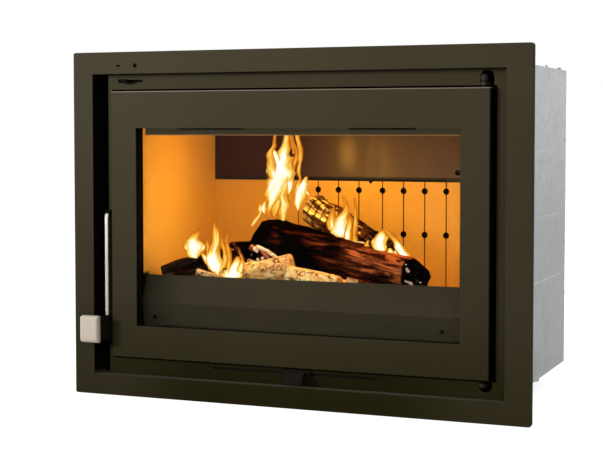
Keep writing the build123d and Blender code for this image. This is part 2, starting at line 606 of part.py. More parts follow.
# ================================================================ door
DOOR_EDGE_ROUND = 1.8
WELD_GAP = 0.05               # between pieces welded inside the door frame
with BuildPart() as door_frame:
    with BuildSketch(upright(DOOR_FRONT)):
        span_rectangle(-DOOR_WIDTH / 2, DOOR_WIDTH / 2, DOOR_BOTTOM, DOOR_TOP)
        span_rectangle(-WINDOW_WIDTH / 2, WINDOW_WIDTH / 2, WINDOW_BOTTOM, WINDOW_TOP,
                       Mode.SUBTRACT)
    extrude(amount=-SHEET)
    with BuildSketch(upright(DOOR_FRONT)):
        span_rectangle(-DOOR_WIDTH / 2, DOOR_WIDTH / 2, DOOR_BOTTOM, DOOR_TOP)
        span_rectangle(-DOOR_WIDTH / 2 + SHEET, DOOR_WIDTH / 2 - SHEET, DOOR_BOTTOM + SHEET,
                       DOOR_TOP - SHEET, Mode.SUBTRACT)
    extrude(amount=-(DOOR_BACK - DOOR_FRONT))
    with BuildSketch(upright(DOOR_FRONT)):
        span_rectangle(-WINDOW_WIDTH / 2 - SHEET, WINDOW_WIDTH / 2 + SHEET, WINDOW_BOTTOM - SHEET,
                       WINDOW_TOP + SHEET)
        span_rectangle(-WINDOW_WIDTH / 2, WINDOW_WIDTH / 2, WINDOW_BOTTOM, WINDOW_TOP,
                       Mode.SUBTRACT)
    extrude(amount=-(WINDOW_RETURN_BACK - DOOR_FRONT))
    door_rim = door_frame.faces().sort_by(Axis.Y)[0].outer_wire().edges()
    fillet(door_rim, DOOR_EDGE_ROUND)
    for hole_plane, hole_length in ((level(DOOR_TOP), -SHEET), (level(DOOR_BOTTOM), SHEET)):
        with BuildSketch(hole_plane):
            with Locations((HINGE_X, at(HINGE_DEPTH))):
                Circle(HINGE_PIN_R + RUNNING_CLEARANCE)
        extrude(amount=hole_length, mode=Mode.SUBTRACT)
finish(door_frame, "door_frame")

HINGE_BLOCK = (13.5, 15.2, 17.0)          # width, depth, height
HINGE_BLOCK_RIGHT = DOOR_WIDTH / 2 - SHEET - WELD_GAP
with BuildPart() as hinge_blocks:
    for block_bottom in (DOOR_TOP - SHEET - HINGE_BLOCK[2], DOOR_BOTTOM + SHEET):
        span_box(HINGE_BLOCK_RIGHT - HINGE_BLOCK[0], HINGE_BLOCK_RIGHT, DOOR_FRONT + SHEET,
                 DOOR_FRONT + SHEET + HINGE_BLOCK[1], block_bottom, block_bottom + HINGE_BLOCK[2])
        with BuildSketch(level(block_bottom)):
            with Locations((HINGE_X, at(HINGE_DEPTH))):
                Circle(HINGE_PIN_R + RUNNING_CLEARANCE)
        extrude(amount=HINGE_BLOCK[2], mode=Mode.SUBTRACT)
finish(hinge_blocks, "hinge_blocks")

BACK_FRAME_DEPTH = 26.5
BACK_FRAME_GLASS_GAP = 2.0
BACK_FRAME_EDGE = SHEET + WELD_GAP
glass_left = -WINDOW_WIDTH / 2 - GLASS_OVERLAP
glass_bottom = WINDOW_BOTTOM - GLASS_OVERLAP
glass_top = WINDOW_TOP + GLASS_OVERLAP
with BuildPart() as door_back_frame:
    with BuildSketch(upright(BACK_FRAME_DEPTH)):
        span_rectangle(-DOOR_WIDTH / 2 + BACK_FRAME_EDGE, DOOR_WIDTH / 2 - BACK_FRAME_EDGE,
                       DOOR_BOTTOM + BACK_FRAME_EDGE, DOOR_TOP - BACK_FRAME_EDGE)
        span_rectangle(glass_left - BACK_FRAME_GLASS_GAP, -glass_left + BACK_FRAME_GLASS_GAP,
                       glass_bottom - BACK_FRAME_GLASS_GAP, glass_top + BACK_FRAME_GLASS_GAP,
                       Mode.SUBTRACT)
    extrude(amount=-SHEET)
finish(door_back_frame, "door_back_frame")

GLASS_CORNER = 2.0
with BuildPart() as door_glass:
    with BuildSketch(upright(GLASS_FRONT)):
        with Locations((0, (glass_bottom + glass_top) / 2)):
            RectangleRounded(-2 * glass_left, glass_top - glass_bottom, GLASS_CORNER)
    extrude(amount=-GLASS_THICKNESS)
finish(door_glass, "door_glass")

TAPE_WIDTH = 8.0
TAPE_SETBACK = 0.5
with BuildPart() as glass_tape:
    with BuildSketch(upright(WINDOW_RETURN_BACK)):
        span_rectangle(-WINDOW_WIDTH / 2 - TAPE_WIDTH, WINDOW_WIDTH / 2 + TAPE_WIDTH,
                       WINDOW_BOTTOM - TAPE_WIDTH, WINDOW_TOP + TAPE_WIDTH)
        span_rectangle(-WINDOW_WIDTH / 2 - TAPE_SETBACK, WINDOW_WIDTH / 2 + TAPE_SETBACK,
                       WINDOW_BOTTOM - TAPE_SETBACK, WINDOW_TOP + TAPE_SETBACK, Mode.SUBTRACT)
    extrude(amount=-(GLASS_FRONT - WINDOW_RETURN_BACK))
finish(glass_tape, "glass_tape")

RETAINER_DEPTH = BACK_FRAME_DEPTH + SHEET
RETAINER_WIDTH = 24.0
RETAINER_LAP = 8.0
RETAINER_SHEET = 2.0
retainer_inner_x = -glass_left - RETAINER_LAP
retainer_bottom = glass_bottom + RETAINER_LAP
retainer_top = glass_top - RETAINER_LAP
retainer_spans = (
    (-retainer_inner_x - RETAINER_WIDTH, -retainer_inner_x, retainer_bottom, retainer_top),
    (retainer_inner_x, retainer_inner_x + RETAINER_WIDTH, retainer_bottom, retainer_top),
    (-retainer_inner_x, retainer_inner_x, retainer_top, retainer_top + RETAINER_WIDTH),
    (-retainer_inner_x, retainer_inner_x, retainer_bottom - RETAINER_WIDTH, retainer_bottom),
)
with BuildPart() as glass_retainers:
    for x_low, x_high, z_low, z_high in retainer_spans:
        with BuildSketch(upright(RETAINER_DEPTH)):
            span_rectangle(x_low + EPS / 2, x_high - EPS / 2, z_low + EPS / 2, z_high - EPS / 2)
        extrude(amount=-RETAINER_SHEET)
finish(glass_retainers, "glass_retainers")

SCREW_INSET = 7.0
SCREW_HEAD_R = 3.8
SCREW_HEAD_HEIGHT = 2.4
SCREW_HEAD_SLOPE = 15.0       # degrees
SIDE_SCREW_Z = (150.0, 289.0, 428.0)
END_SCREW_X = (-230.0, 0.0, 230.0)
screw_x = retainer_inner_x + RETAINER_WIDTH - SCREW_INSET
screw_spots = [(sign * screw_x, z) for sign in (-1, 1) for z in SIDE_SCREW_Z]
screw_spots += [(x, z) for x in END_SCREW_X
                for z in (retainer_top + RETAINER_WIDTH - SCREW_INSET,
                          retainer_bottom - RETAINER_WIDTH + SCREW_INSET)]
with BuildPart() as retainer_screws:
    with BuildSketch(upright(RETAINER_DEPTH + RETAINER_SHEET)):
        with Locations(*screw_spots):
            Circle(SCREW_HEAD_R)
    extrude(amount=-SCREW_HEAD_HEIGHT, taper=SCREW_HEAD_SLOPE)
finish(retainer_screws, "retainer_screws")

ROPE_R = 4.7
ROPE_X = 320.0
ROPE_BOTTOM = 77.0
ROPE_TOP = 508.5
ROPE_CORNER = 14.0
ROPE_DEPTH = 34.3             # middle of the rope, 0.1 mm off its plate
with BuildPart() as door_rope:
    with BuildLine(upright(ROPE_DEPTH)) as rope_route:
        FilletPolyline((-ROPE_X, ROPE_BOTTOM), (ROPE_X, ROPE_BOTTOM), (ROPE_X, ROPE_TOP),
                       (-ROPE_X, ROPE_TOP), radius=ROPE_CORNER, close=True)
    with BuildSketch(Plane(origin=rope_route.line @ 0, z_dir=rope_route.line % 0)):
        Circle(ROPE_R)
    sweep()
finish(door_rope, "door_rope")

# ---------------------------------------------------------------- door hinges on the face plate
LUG_WIDTH = 12.0
LUG_THICKNESS = 4.5
UPPER_LUG_BOTTOM = 523.0
LOWER_LUG_TOP = 60.0
with BuildPart() as hinge_lugs:
    for lug_bottom in (UPPER_LUG_BOTTOM, LOWER_LUG_TOP - LUG_THICKNESS):
        with BuildSketch(level(lug_bottom)):
            with Locations((HINGE_X, at(HINGE_DEPTH))):
                Circle(LUG_WIDTH / 2)
            span_rectangle(HINGE_X - LUG_WIDTH / 2, HINGE_X + LUG_WIDTH / 2, at(HINGE_DEPTH),
                           at(FACE_DEPTH))
            with Locations((HINGE_X, at(HINGE_DEPTH))):
                Circle(HINGE_PIN_R, mode=Mode.SUBTRACT)
        extrude(amount=LUG_THICKNESS)
finish(hinge_lugs, "hinge_lugs")

PIN_HEAD_R = 5.6
UPPER_PIN_FOOT = 501.0
UPPER_HEAD_BOTTOM = UPPER_LUG_BOTTOM + LUG_THICKNESS
UPPER_HEAD_TOP = 541.5
LOWER_HEAD_BOTTOM = 49.5
LOWER_HEAD_TOP = LOWER_LUG_TOP - LUG_THICKNESS
LOWER_PIN_TIP = 84.0
PIN_DOME = 4.5
PIN_TIP_CHAMFER = 0.8
hinge_pins = {
    "upper_hinge_pin": (UPPER_PIN_FOOT, UPPER_HEAD_BOTTOM, UPPER_HEAD_BOTTOM, UPPER_HEAD_TOP, 1),
    "lower_hinge_pin": (LOWER_HEAD_TOP, LOWER_PIN_TIP, LOWER_HEAD_BOTTOM, LOWER_HEAD_TOP, -1),
}
for name, (shank_low, shank_high, head_low, head_high, dome_side) in hinge_pins.items():
    with BuildPart() as hinge_pin:
        for radius, low, high in ((HINGE_PIN_R, shank_low, shank_high),
                                  (PIN_HEAD_R, head_low, head_high)):
            with BuildSketch(level(low)):
                with Locations((HINGE_X, at(HINGE_DEPTH))):
                    Circle(radius)
            extrude(amount=high - low)
        rims = hinge_pin.edges().filter_by(GeomType.CIRCLE).sort_by(Axis.Z)
        if dome_side > 0:
            dome_rim, tip_rim = rims[-1], rims[0]
        else:
            dome_rim, tip_rim = rims[0], rims[-1]
        fillet(dome_rim, PIN_DOME)
        chamfer(tip_rim, PIN_TIP_CHAMFER)
    finish(hinge_pin, name)

with BuildPart() as thrust_washer:
    with BuildSketch(level(LOWER_LUG_TOP)):
        with Locations((HINGE_X, at(HINGE_DEPTH))):
            Circle(PIN_HEAD_R)
            Circle(HINGE_PIN_R + RUNNING_CLEARANCE, mode=Mode.SUBTRACT)
    extrude(amount=DOOR_BOTTOM - LOWER_LUG_TOP - EPS)
finish(thrust_washer, "thrust_washer")

# ================================================================ handle and latch
GRIP_BOTTOM = 90.5
BEARING_HEIGHT = 6.0
BEARING_PLAY = 1.0
ARM_BOTTOM = GRIP_BOTTOM + 3
UPPER_BEARING = BAR_TOP + BEARING_PLAY
LOWER_BEARING = ARM_BOTTOM - BEARING_PLAY - BEARING_HEIGHT
BAR_CORNER = 1.2
BAR_END_SLOPE = (6.0, 3.0)    # along the bar and through it
JOURNAL_SETBACK = 1.0         # from the far side of each bearing
with BuildPart() as handle_bar:
    with BuildSketch(level(BAR_BOTTOM)):
        with Locations((HANDLE_X, at(HANDLE_DEPTH))):
            RectangleRounded(BAR_WIDTH, BAR_DEPTH, BAR_CORNER)
    extrude(amount=BAR_TOP - BAR_BOTTOM)
    # The upper end slopes back from the room.
    with BuildSketch(across(HANDLE_X)):
        with BuildLine():
            Polyline((at(HANDLE_DEPTH - BAR_DEPTH / 2), BAR_TOP - BAR_END_SLOPE[0]),
                     (at(HANDLE_DEPTH - BAR_DEPTH / 2 + BAR_END_SLOPE[1]), BAR_TOP),
                     (at(HANDLE_DEPTH - BAR_DEPTH / 2), BAR_TOP), close=True)
        make_face()
    extrude(amount=BAR_WIDTH / 2, both=True, mode=Mode.SUBTRACT)
    # A round journal is turned on the upper end.
    with BuildSketch(level(BAR_TOP)):
        with Locations((HANDLE_X, at(HANDLE_DEPTH))):
            Circle(SPINDLE_R)
    extrude(amount=UPPER_BEARING + BEARING_HEIGHT - JOURNAL_SETBACK - BAR_TOP)
finish(handle_bar, "handle_bar")

GRIP_LEFT = -381.0
GRIP_RIGHT = -343.5
GRIP_TOP = 137.0
GRIP_THICKNESS = 8.0
GRIP_CORNER = 5.5
GRIP_FOLD_CORNER = 2.0
GRIP_FOLD = 6.0               # outer radius of the fold towards the arm
with BuildPart() as handle_grip:
    with BuildSketch(upright(-GRIP_REACH)):
        span_rectangle(GRIP_LEFT, GRIP_RIGHT, GRIP_BOTTOM, GRIP_TOP)
    extrude(amount=-GRIP_THICKNESS)
    upright_edges = handle_grip.edges().filter_by(Axis.Y)
    fillet(upright_edges.group_by(Axis.X)[0], GRIP_CORNER)
    fillet(handle_grip.edges().filter_by(Axis.Y).group_by(Axis.X)[-1], GRIP_FOLD_CORNER)
    fillet(handle_grip.edges().filter_by(Axis.Z).sort_by(Axis.Y)[:2].sort_by(Axis.X)[-1], GRIP_FOLD)
finish(handle_grip, "handle_grip")

ARM_SHEET = 4.0
with BuildPart() as handle_arm:
    arm_back = HANDLE_DEPTH + BAR_DEPTH / 2
    span_box(GRIP_RIGHT - ARM_SHEET, GRIP_RIGHT, GRIP_THICKNESS - GRIP_REACH, arm_back,
             ARM_BOTTOM, GRIP_TOP - 2)
    span_box(HANDLE_X - ARM_SHEET, HANDLE_X + BAR_WIDTH / 2, HANDLE_DEPTH - BAR_DEPTH / 2, arm_back,
             ARM_BOTTOM, BAR_BOTTOM)
    # The lower journal stands under the arm.
    with BuildSketch(level(LOWER_BEARING + JOURNAL_SETBACK)):
        with Locations((HANDLE_X, at(HANDLE_DEPTH))):
            Circle(SPINDLE_R)
    extrude(amount=ARM_BOTTOM - LOWER_BEARING - JOURNAL_SETBACK)
finish(handle_arm, "handle_arm")

BEARING_R = 4.0
with BuildPart() as handle_bearings:
    for bearing_bottom in (UPPER_BEARING, LOWER_BEARING):
        with BuildSketch(level(bearing_bottom)):
            with Locations((HANDLE_X, at(HANDLE_DEPTH))):
                Circle(BEARING_R)
            span_rectangle(HANDLE_X, -DOOR_WIDTH / 2, at(HANDLE_DEPTH - BEARING_R),
                           at(HANDLE_DEPTH + BEARING_R))
            with Locations((HANDLE_X, at(HANDLE_DEPTH))):
                Circle(SPINDLE_R + RUNNING_CLEARANCE, mode=Mode.SUBTRACT)
        extrude(amount=BEARING_HEIGHT)
finish(handle_bearings, "handle_bearings")

CAM_Z = 222.0
CAM_THICKNESS = 8.0
CAM_RIGHT = HANDLE_X - BAR_WIDTH / 2
CAM_PROFILE = ((0.0, 9.0), (-2.5, 9.0), (-4.5, 12.0), (-4.5, 22.0),   # x from its right, depth
               (-5.75, 24.0), (-5.75, 27.0), (-3.75, 29.0), (0.0, 29.0))
with BuildPart() as latch_cam:
    with BuildSketch(level(CAM_Z)):
        with BuildLine():
            Polyline(*[(CAM_RIGHT + x, at(depth)) for x, depth in CAM_PROFILE], close=True)
        make_face()
    extrude(amount=CAM_THICKNESS)
finish(latch_cam, "latch_cam")

KEEPER_PIN_R = 2.5
KEEPER_LEFT = -360.0
KEEPER_X = -355.0
KEEPER_RIGHT = -351.0
KEEPER_FRONT = 30.5
KEEPER_DEPTH = 33.5
KEEPER_SHEET = 2.0
KEEPER_CHEEK = 3.0
KEEPER_GAP = 2.0
with BuildPart() as latch_keeper:
    keeper_low = CAM_Z - KEEPER_GAP - KEEPER_CHEEK
    keeper_high = CAM_Z + CAM_THICKNESS + KEEPER_GAP + KEEPER_CHEEK
    for cheek_bottom in (keeper_low, keeper_high - KEEPER_CHEEK):
        span_box(KEEPER_LEFT, KEEPER_RIGHT, KEEPER_FRONT, FACE_DEPTH, cheek_bottom,
                 cheek_bottom + KEEPER_CHEEK)
    span_box(KEEPER_LEFT, KEEPER_RIGHT, FACE_DEPTH - KEEPER_SHEET, FACE_DEPTH, keeper_low,
             keeper_high)
    with BuildSketch(level(keeper_low)):
        with Locations((KEEPER_X, at(KEEPER_DEPTH))):
            Circle(KEEPER_PIN_R)
    extrude(amount=keeper_high - keeper_low)
finish(latch_keeper, "latch_keeper")

# ================================================================ air controls
SHUTTER_FRONT = 21.0
SHUTTER_BACK = 39.4
SHUTTER_SHEET = 2.0


def shutter(x_low, x_high, z_low, z_high):
    """Channel behind the fascia: a front strip, a web and the shutter on the face plate."""
    span_box(x_low, x_high, SHUTTER_FRONT, SHUTTER_FRONT + SHUTTER_SHEET, z_low, z_high)
    span_box(x_low, x_high, SHUTTER_FRONT, SHUTTER_BACK, z_low, z_low + SHUTTER_SHEET)
    span_box(x_low, x_high, SHUTTER_BACK - SHUTTER_SHEET, SHUTTER_BACK, z_low, z_high)


WASH_SHUTTER = (-332.0, -231.0, 529.0, 545.5)
with BuildPart() as airwash_slider:
    shutter(*WASH_SHUTTER)
    with BuildSketch(upright(SHUTTER_BACK)):
        with Locations(*WASH_PORTS):
            Rectangle(WASH_PORT_WIDTH, PORT_HEIGHT)
    extrude(amount=SHUTTER_SHEET, mode=Mode.SUBTRACT)
finish(airwash_slider, "airwash_slider")

TAB_LEFT = -317.0
TAB_RIGHT = -299.6
TAB_FRONT = 8.0
TAB_BLADE = (536.0, 538.8)
TAB_LIP = (533.4, 540.2)
TAB_LIP_THICKNESS = 2.5
TAB_ROUND = 1.0
with BuildPart() as airwash_tab:
    span_box(TAB_LEFT, TAB_RIGHT, TAB_FRONT, SHUTTER_FRONT, *TAB_BLADE)
    span_box(TAB_LEFT, TAB_RIGHT, TAB_FRONT, TAB_FRONT + TAB_LIP_THICKNESS, *TAB_LIP)
    fillet(airwash_tab.edges().filter_by(Axis.Y).group_by(Axis.Z)[0], TAB_ROUND)
finish(airwash_tab, "airwash_tab")

PRIMARY_SHUTTER = (-174.0, 176.0, 50.0, 60.2)
with BuildPart() as primary_slider:
    shutter(*PRIMARY_SHUTTER)
    with BuildSketch(upright(SHUTTER_BACK)):
        with Locations(*PRIMARY_PORTS):
            Rectangle(PRIMARY_PORT_WIDTH, PORT_HEIGHT)
    extrude(amount=SHUTTER_SHEET, mode=Mode.SUBTRACT)
finish(primary_slider, "primary_slider")

LEVER_SHEET = 2.4
LEVER_LEFT = -6.0
LEVER_RIGHT = 23.0
LEVER_PLATE = (-19.0, 31.0, 14.0, 16.5, 53.8, 60.3)
LEVER_NECK = (-10.0, 22.0, 16.5, SHUTTER_FRONT, 54.4, 56.8)
LEVER_REACH = -2.0            # the lever's lip stands just in front of the trim
LEVER_BEND = 9.0
LEVER_LIP = (43.0, 49.0)
LEVER_TOP = 59.0
with BuildPart() as primary_lever:
    span_box(*LEVER_PLATE)
    span_box(*LEVER_NECK)
    with BuildSketch(across(LEVER_LEFT)):
        with BuildLine():
            Polyline((at(LEVER_REACH), LEVER_LIP[0]), (at(LEVER_REACH), LEVER_LIP[1]),
                     (at(LEVER_BEND), LEVER_TOP), (at(LEVER_PLATE[2]), LEVER_TOP))
            offset(amount=LEVER_SHEET, side=Side.RIGHT, kind=Kind.INTERSECTION)
        make_face()
    extrude(amount=LEVER_RIGHT - LEVER_LEFT)
finish(primary_lever, "primary_lever")

# ================================================================ fire bed and logs
# Each log: start and end of its axis (x, depth, z), radius, sides, share of the round split off.
LOGS = {
    "log_large": ((-158, 240, 257), (168, 138, 216), 40.0, 9, 0.72),
    "log_rear": ((-90, 325, 304), (100, 228, 228), 31.0, 8, 0.85),
    "log_left": ((-299, 134, 194), (-166, 195, 235), 23.0, 7, 0.80),
    "log_left_rear": ((-134, 169, 229.5), (-88, 167, 225), 15.0, 7, 0.80),
    "log_birch_left": ((-224, 107, 179), (-50, 140, 214), 26.0, 9, 0.90),
    "log_birch_right": ((-44, 84, 195), (86, 88, 181), 25.0, 9, 0.90),
    "log_cross_left": ((-121.5, 158, 181), (-110, 288, 189), 29.5, 8, 0.90),
    "log_cross_right": ((136, 110, 169.6), (60, 330, 169.6), 17.5, 8, 0.92),
}
LOG_TAPER = 0.6               # degrees on the side of a log
PROP_MIDDLE = (-92, 322)      # short log on end under the rear log, (x, depth)
PROP_R = 25.0
PROP_SIDES = 9
PROP_FOOT = 150.0
PROP_TOP = 263.0
HEAP_BASE_MIDDLE = 210.0
HEAP_BASE = (600.0, 270.0, 60.0)          # width, length and corner on the hearth
HEAP_TOP_MIDDLE = (-85, 185)
HEAP_TOP = (370.0, 150.0, 50.0)
HEAP_TOP_Z = 186.0


def log_plane(start, end, spare=0.0):
    """Plane across a log at the start of its axis, moved back by `spare`, with local Y up."""
    start_point = Vector(start[0], at(start[1]), start[2])
    run = Vector(end[0], at(end[1]), end[2]) - start_point
    return Plane(origin=start_point - run.normalized() * spare,
                 x_dir=Vector(-run.Y, run.X, 0), z_dir=run)


def log_length(start, end):
    """Length of a log's axis, whose ends are given as (x, depth, z)."""
    return (Vector(*end) - Vector(*start)).length


def split_round(radius, sides, split):
    """Section of a log: a rough round with its upper side split off."""
    RegularPolygon(radius, sides)
    with Locations((0, radius * (split + 1))):
        Rectangle(3 * radius, 2 * radius, mode=Mode.SUBTRACT)


for name, (start, end, radius, sides, split) in LOGS.items():
    with BuildPart() as log:
        with BuildSketch(log_plane(start, end)):
            split_round(radius, sides, split)
        extrude(amount=log_length(start, end), taper=LOG_TAPER)
        if name == "log_cross_left":
            with BuildSketch(level(PROP_FOOT)):
                with Locations((PROP_MIDDLE[0], at(PROP_MIDDLE[1]))):
                    RegularPolygon(PROP_R, PROP_SIDES)
            extrude(amount=PROP_TOP - PROP_FOOT)
    finish(log, name)

# The hollows in the ash are the logs again, a little larger all round.
with BuildPart() as log_hollows:
    for start, end, radius, sides, split in LOGS.values():
        with BuildSketch(log_plane(start, end, EPS)):
            split_round(radius + EPS, sides, split)
        extrude(amount=log_length(start, end) + 2 * EPS, taper=LOG_TAPER)
    with BuildSketch(level(PROP_FOOT - EPS)):
        with Locations((PROP_MIDDLE[0], at(PROP_MIDDLE[1]))):
            RegularPolygon(PROP_R + EPS, PROP_SIDES)
    extrude(amount=PROP_TOP - PROP_FOOT)

# Heap of ash and embers that the lower logs have sunk into.
with BuildPart() as ember_bed:
    with BuildSketch(level(HEARTH_Z + EPS)):
        with Locations((0, at(HEAP_BASE_MIDDLE))):
            RectangleRounded(*HEAP_BASE)
    with BuildSketch(level(HEAP_TOP_Z)):
        with Locations((HEAP_TOP_MIDDLE[0], at(HEAP_TOP_MIDDLE[1]))):
            RectangleRounded(*HEAP_TOP)
    loft()
    add(log_hollows.part, mode=Mode.SUBTRACT)
finish(ember_bed, "ember_bed")
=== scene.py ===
"""Looks of a wood-burning fireplace insert, dressed around its construction model.

Sizes are in metres and places are in the construction model's own frame: X to the right, +Y back
into the chimney breast and +Z up.  Many places are given as a depth behind the front of the trim.
"""

import logging
import math
import random
from dataclasses import dataclass
from enum import Enum

import bmesh
import bpy
import numpy as np
from mathutils import Matrix, Vector, noise


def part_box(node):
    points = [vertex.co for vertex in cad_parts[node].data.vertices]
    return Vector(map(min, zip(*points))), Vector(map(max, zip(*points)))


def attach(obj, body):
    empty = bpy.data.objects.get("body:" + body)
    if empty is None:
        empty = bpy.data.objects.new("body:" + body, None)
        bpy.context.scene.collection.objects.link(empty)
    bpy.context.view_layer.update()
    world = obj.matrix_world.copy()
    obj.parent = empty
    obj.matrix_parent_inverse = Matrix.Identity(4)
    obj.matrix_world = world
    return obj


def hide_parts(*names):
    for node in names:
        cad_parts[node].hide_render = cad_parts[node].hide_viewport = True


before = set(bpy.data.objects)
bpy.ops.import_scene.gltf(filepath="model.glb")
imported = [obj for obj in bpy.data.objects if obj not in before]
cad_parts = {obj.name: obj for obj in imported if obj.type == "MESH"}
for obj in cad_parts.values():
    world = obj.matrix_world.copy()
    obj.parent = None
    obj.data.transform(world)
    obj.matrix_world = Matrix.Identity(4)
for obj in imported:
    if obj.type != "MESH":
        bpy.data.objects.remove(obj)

LOG = logging.getLogger("fireplace_insert")
MM = 0.001
TURN = 2 * math.pi
TRIM_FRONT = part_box("trim_frame")[0].y
Pair = tuple[float, float]
Point = tuple[float, float, float]
Colour = tuple[float, float, float]
Socket = bpy.types.NodeSocket
Mesh = bmesh.types.BMesh
Vert = bmesh.types.BMVert


class Body(Enum):
    """Bodies of the record that pieces are added to."""

    ROOT = "root"
    DOOR = "door"


class Slot(Enum):
    """Material slots of the record."""

    FRONT_PAINT = "front_paint"
    BLACK_STEEL = "black_steel"
    GUARD_PAINT = "guard_paint"
    STOVE_PAINT = "stove_paint"
    HEAT_PLATE = "heat_plate"
    GALVANISED = "galvanised_sheet"
    VERMICULITE = "vermiculite"
    CAST_IRON = "cast_iron"
    ZINC = "zinc_steel"
    GLASS = "ceramic_glass"
    ROPE = "seal_rope"
    BAR = "bright_bar"
    GRIP = "satin_grip"
    EMBERS = "embers"
    CHARRED = "charred_oak"
    BIRCH = "birch"


class ScrewHead(Enum):
    """Shapes of a fastener's head."""

    PAN = "pan"
    HEX_FLANGE = "hex_flange"
    RIVET = "rivet"


def place(x: float, depth: float, z: float) -> Vector:
    """Point of the frame from millimetres: across, behind the trim's front, and up."""
    return Vector((x * MM, TRIM_FRONT + depth * MM, z * MM))


def smooth(low: float, high: float, value: float) -> float:
    """Smooth step of a value from 0 at low to 1 at high."""
    t = min(max((value - low) / (high - low), 0.0), 1.0)
    return t * t * (3 - 2 * t)


# ------------------------------------------------------------------------------ node trees
class Graph:
    """Node tree of one material or world, ending in a surface."""

    def __init__(self, owner: bpy.types.Material | bpy.types.World,
                 surface: str = "ShaderNodeBsdfPrincipled",
                 output: str = "ShaderNodeOutputMaterial") -> None:
        """Starts the tree of a new material or world."""
        owner.use_nodes = True
        self.tree = owner.node_tree
        self.tree.nodes.clear()
        self.surface = self.add(surface)
        self.add(output, {"Surface": self.surface.outputs[0]})
        self.place = self.add("ShaderNodeTexCoord").outputs["Object"]
        self.x, self.y, self.z = self.add("ShaderNodeSeparateXYZ", {0: self.place}).outputs

    def feed(self, socket: Socket, value: Socket | float | tuple) -> None:
        """Links a socket to an input, or sets the input's own value."""
        if isinstance(value, bpy.types.NodeSocket):
            self.tree.links.new(value, socket)
        elif socket.type == "RGBA" and len(value) == 3:
            socket.default_value = (*value, 1.0)
        else:
            socket.default_value = value

    def add(self, kind: str, inputs: dict | None = None, **settings: object) -> bpy.types.Node:
        """Adds one node.

        Args:
            kind: Blender's name of the node type.
            inputs: Values or sockets by input name or number.
            **settings: Attributes of the node.

        Returns:
            The new node.
        """
        node = self.tree.nodes.new(kind)
        for name, value in settings.items():
            setattr(node, name, value)
        for key, value in (inputs or {}).items():
            self.feed(node.inputs[key], value)
        return node

    def set(self, **inputs: Socket | float | tuple) -> None:
        """Sets inputs of the surface, named with underscores for spaces."""
        for name, value in inputs.items():
            self.feed(self.surface.inputs[name.replace("_", " ")], value)

    def stretched(self, vector: Socket, z: float = 1.0, x: float = 1.0, y: float = 1.0) -> Socket:
        """Vector scaled along its three axes."""
        inputs = {"Vector": vector, "Scale": (x, y, z)}
        return self.add("ShaderNodeMapping", inputs).outputs[0]

    def wandered(self, vector: Socket, scale: float, share: float) -> Socket:
        """Vector mixed with a share of noise."""
        inputs = {"Vector": vector, "Scale": scale}
        return self.mix(share, vector, self.add("ShaderNodeTexNoise", inputs).outputs["Color"])

    def noise(self, scale: float, detail: float = 3.0, rough: float = 0.55,
              vector: Socket | None = None) -> Socket:
        """Fractal noise from 0 to 1 over the object, or over another vector."""
        inputs = {"Vector": vector or self.place, "Scale": scale, "Detail": detail,
                  "Roughness": rough}
        return self.add("ShaderNodeTexNoise", inputs).outputs[0]

    def cells(self, scale: float, output: str = "Distance", vector: Socket | None = None,
              feature: str = "F1") -> Socket:
        """Voronoi cells over the object, or over another vector."""
        inputs = {"Vector": vector or self.place, "Scale": scale}
        return self.add("ShaderNodeTexVoronoi", inputs, feature=feature).outputs[output]

    def band(self, value: Socket, low: float, high: float, start: float = 0.0,
             end: float = 1.0) -> Socket:
        """Smooth step of a socket from start at low to end at high."""
        inputs = {"Value": value, "From Min": low, "From Max": high, "To Min": start,
                  "To Max": end}
        return self.add("ShaderNodeMapRange", inputs, interpolation_type="SMOOTHSTEP").outputs[0]

    def behind(self, depth: float, over: float) -> Socket:
        """Step from 0 to 1 over some mm, from a depth behind the trim's front in mm."""
        start = TRIM_FRONT + depth * MM
        return self.band(self.y, start, start + over * MM)

    def above(self, height: float, over: float) -> Socket:
        """Step from 0 to 1 over some mm, from a height in mm."""
        return self.band(self.z, height * MM, (height + over) * MM)

    def math(self, operation: str, a: Socket | float, b: Socket | float = 0.0) -> Socket:
        """Result of one math node."""
        return self.add("ShaderNodeMath", {0: a, 1: b}, operation=operation).outputs[0]

    def plus(self, a: Socket | float, b: Socket | float) -> Socket:
        """Sum of two values."""
        return self.math("ADD", a, b)

    def times(self, a: Socket | float, b: Socket | float) -> Socket:
        """Product of two values."""
        return self.math("MULTIPLY", a, b)

    def mix(self, factor: Socket | float, a: Socket | Colour, b: Socket | Colour,
            blend: str = "MIX") -> Socket:
        """Colour mixed from a to b by a factor."""
        inputs = {0: factor, 6: a, 7: b}
        return self.add("ShaderNodeMix", inputs, data_type="RGBA", blend_type=blend).outputs[2]

    def lay(self, colour: Socket | Colour, over: Socket | Colour, value: Socket, low: float,
            high: float, end: float = 1.0) -> Socket:
        """Colour with another laid over it, from none of it at low to a share of it at high."""
        return self.mix(self.band(value, low, high, 0.0, end), colour, over)

    def ramp(self, factor: Socket, *stops: tuple[float, Colour]) -> Socket:
        """Colour ramp through stops of position and colour."""
        node = self.add("ShaderNodeValToRGB", {"Fac": factor})
        elements = node.color_ramp.elements
        while len(elements) < len(stops):
            elements.new(1.0)
        for element, (position, colour) in zip(elements, stops):
            element.position = position
            element.color = (*colour, 1.0)
        return node.outputs["Color"]

    def attribute(self, name: str, output: str = "Fac") -> Socket:
        """Attribute that a mesh carries."""
        return self.add("ShaderNodeAttribute", attribute_name=name).outputs[output]

    def first(self, vector: Socket) -> Socket:
        """First part of a vector or colour."""
        return self.add("ShaderNodeSeparateXYZ", {0: vector}).outputs[0]

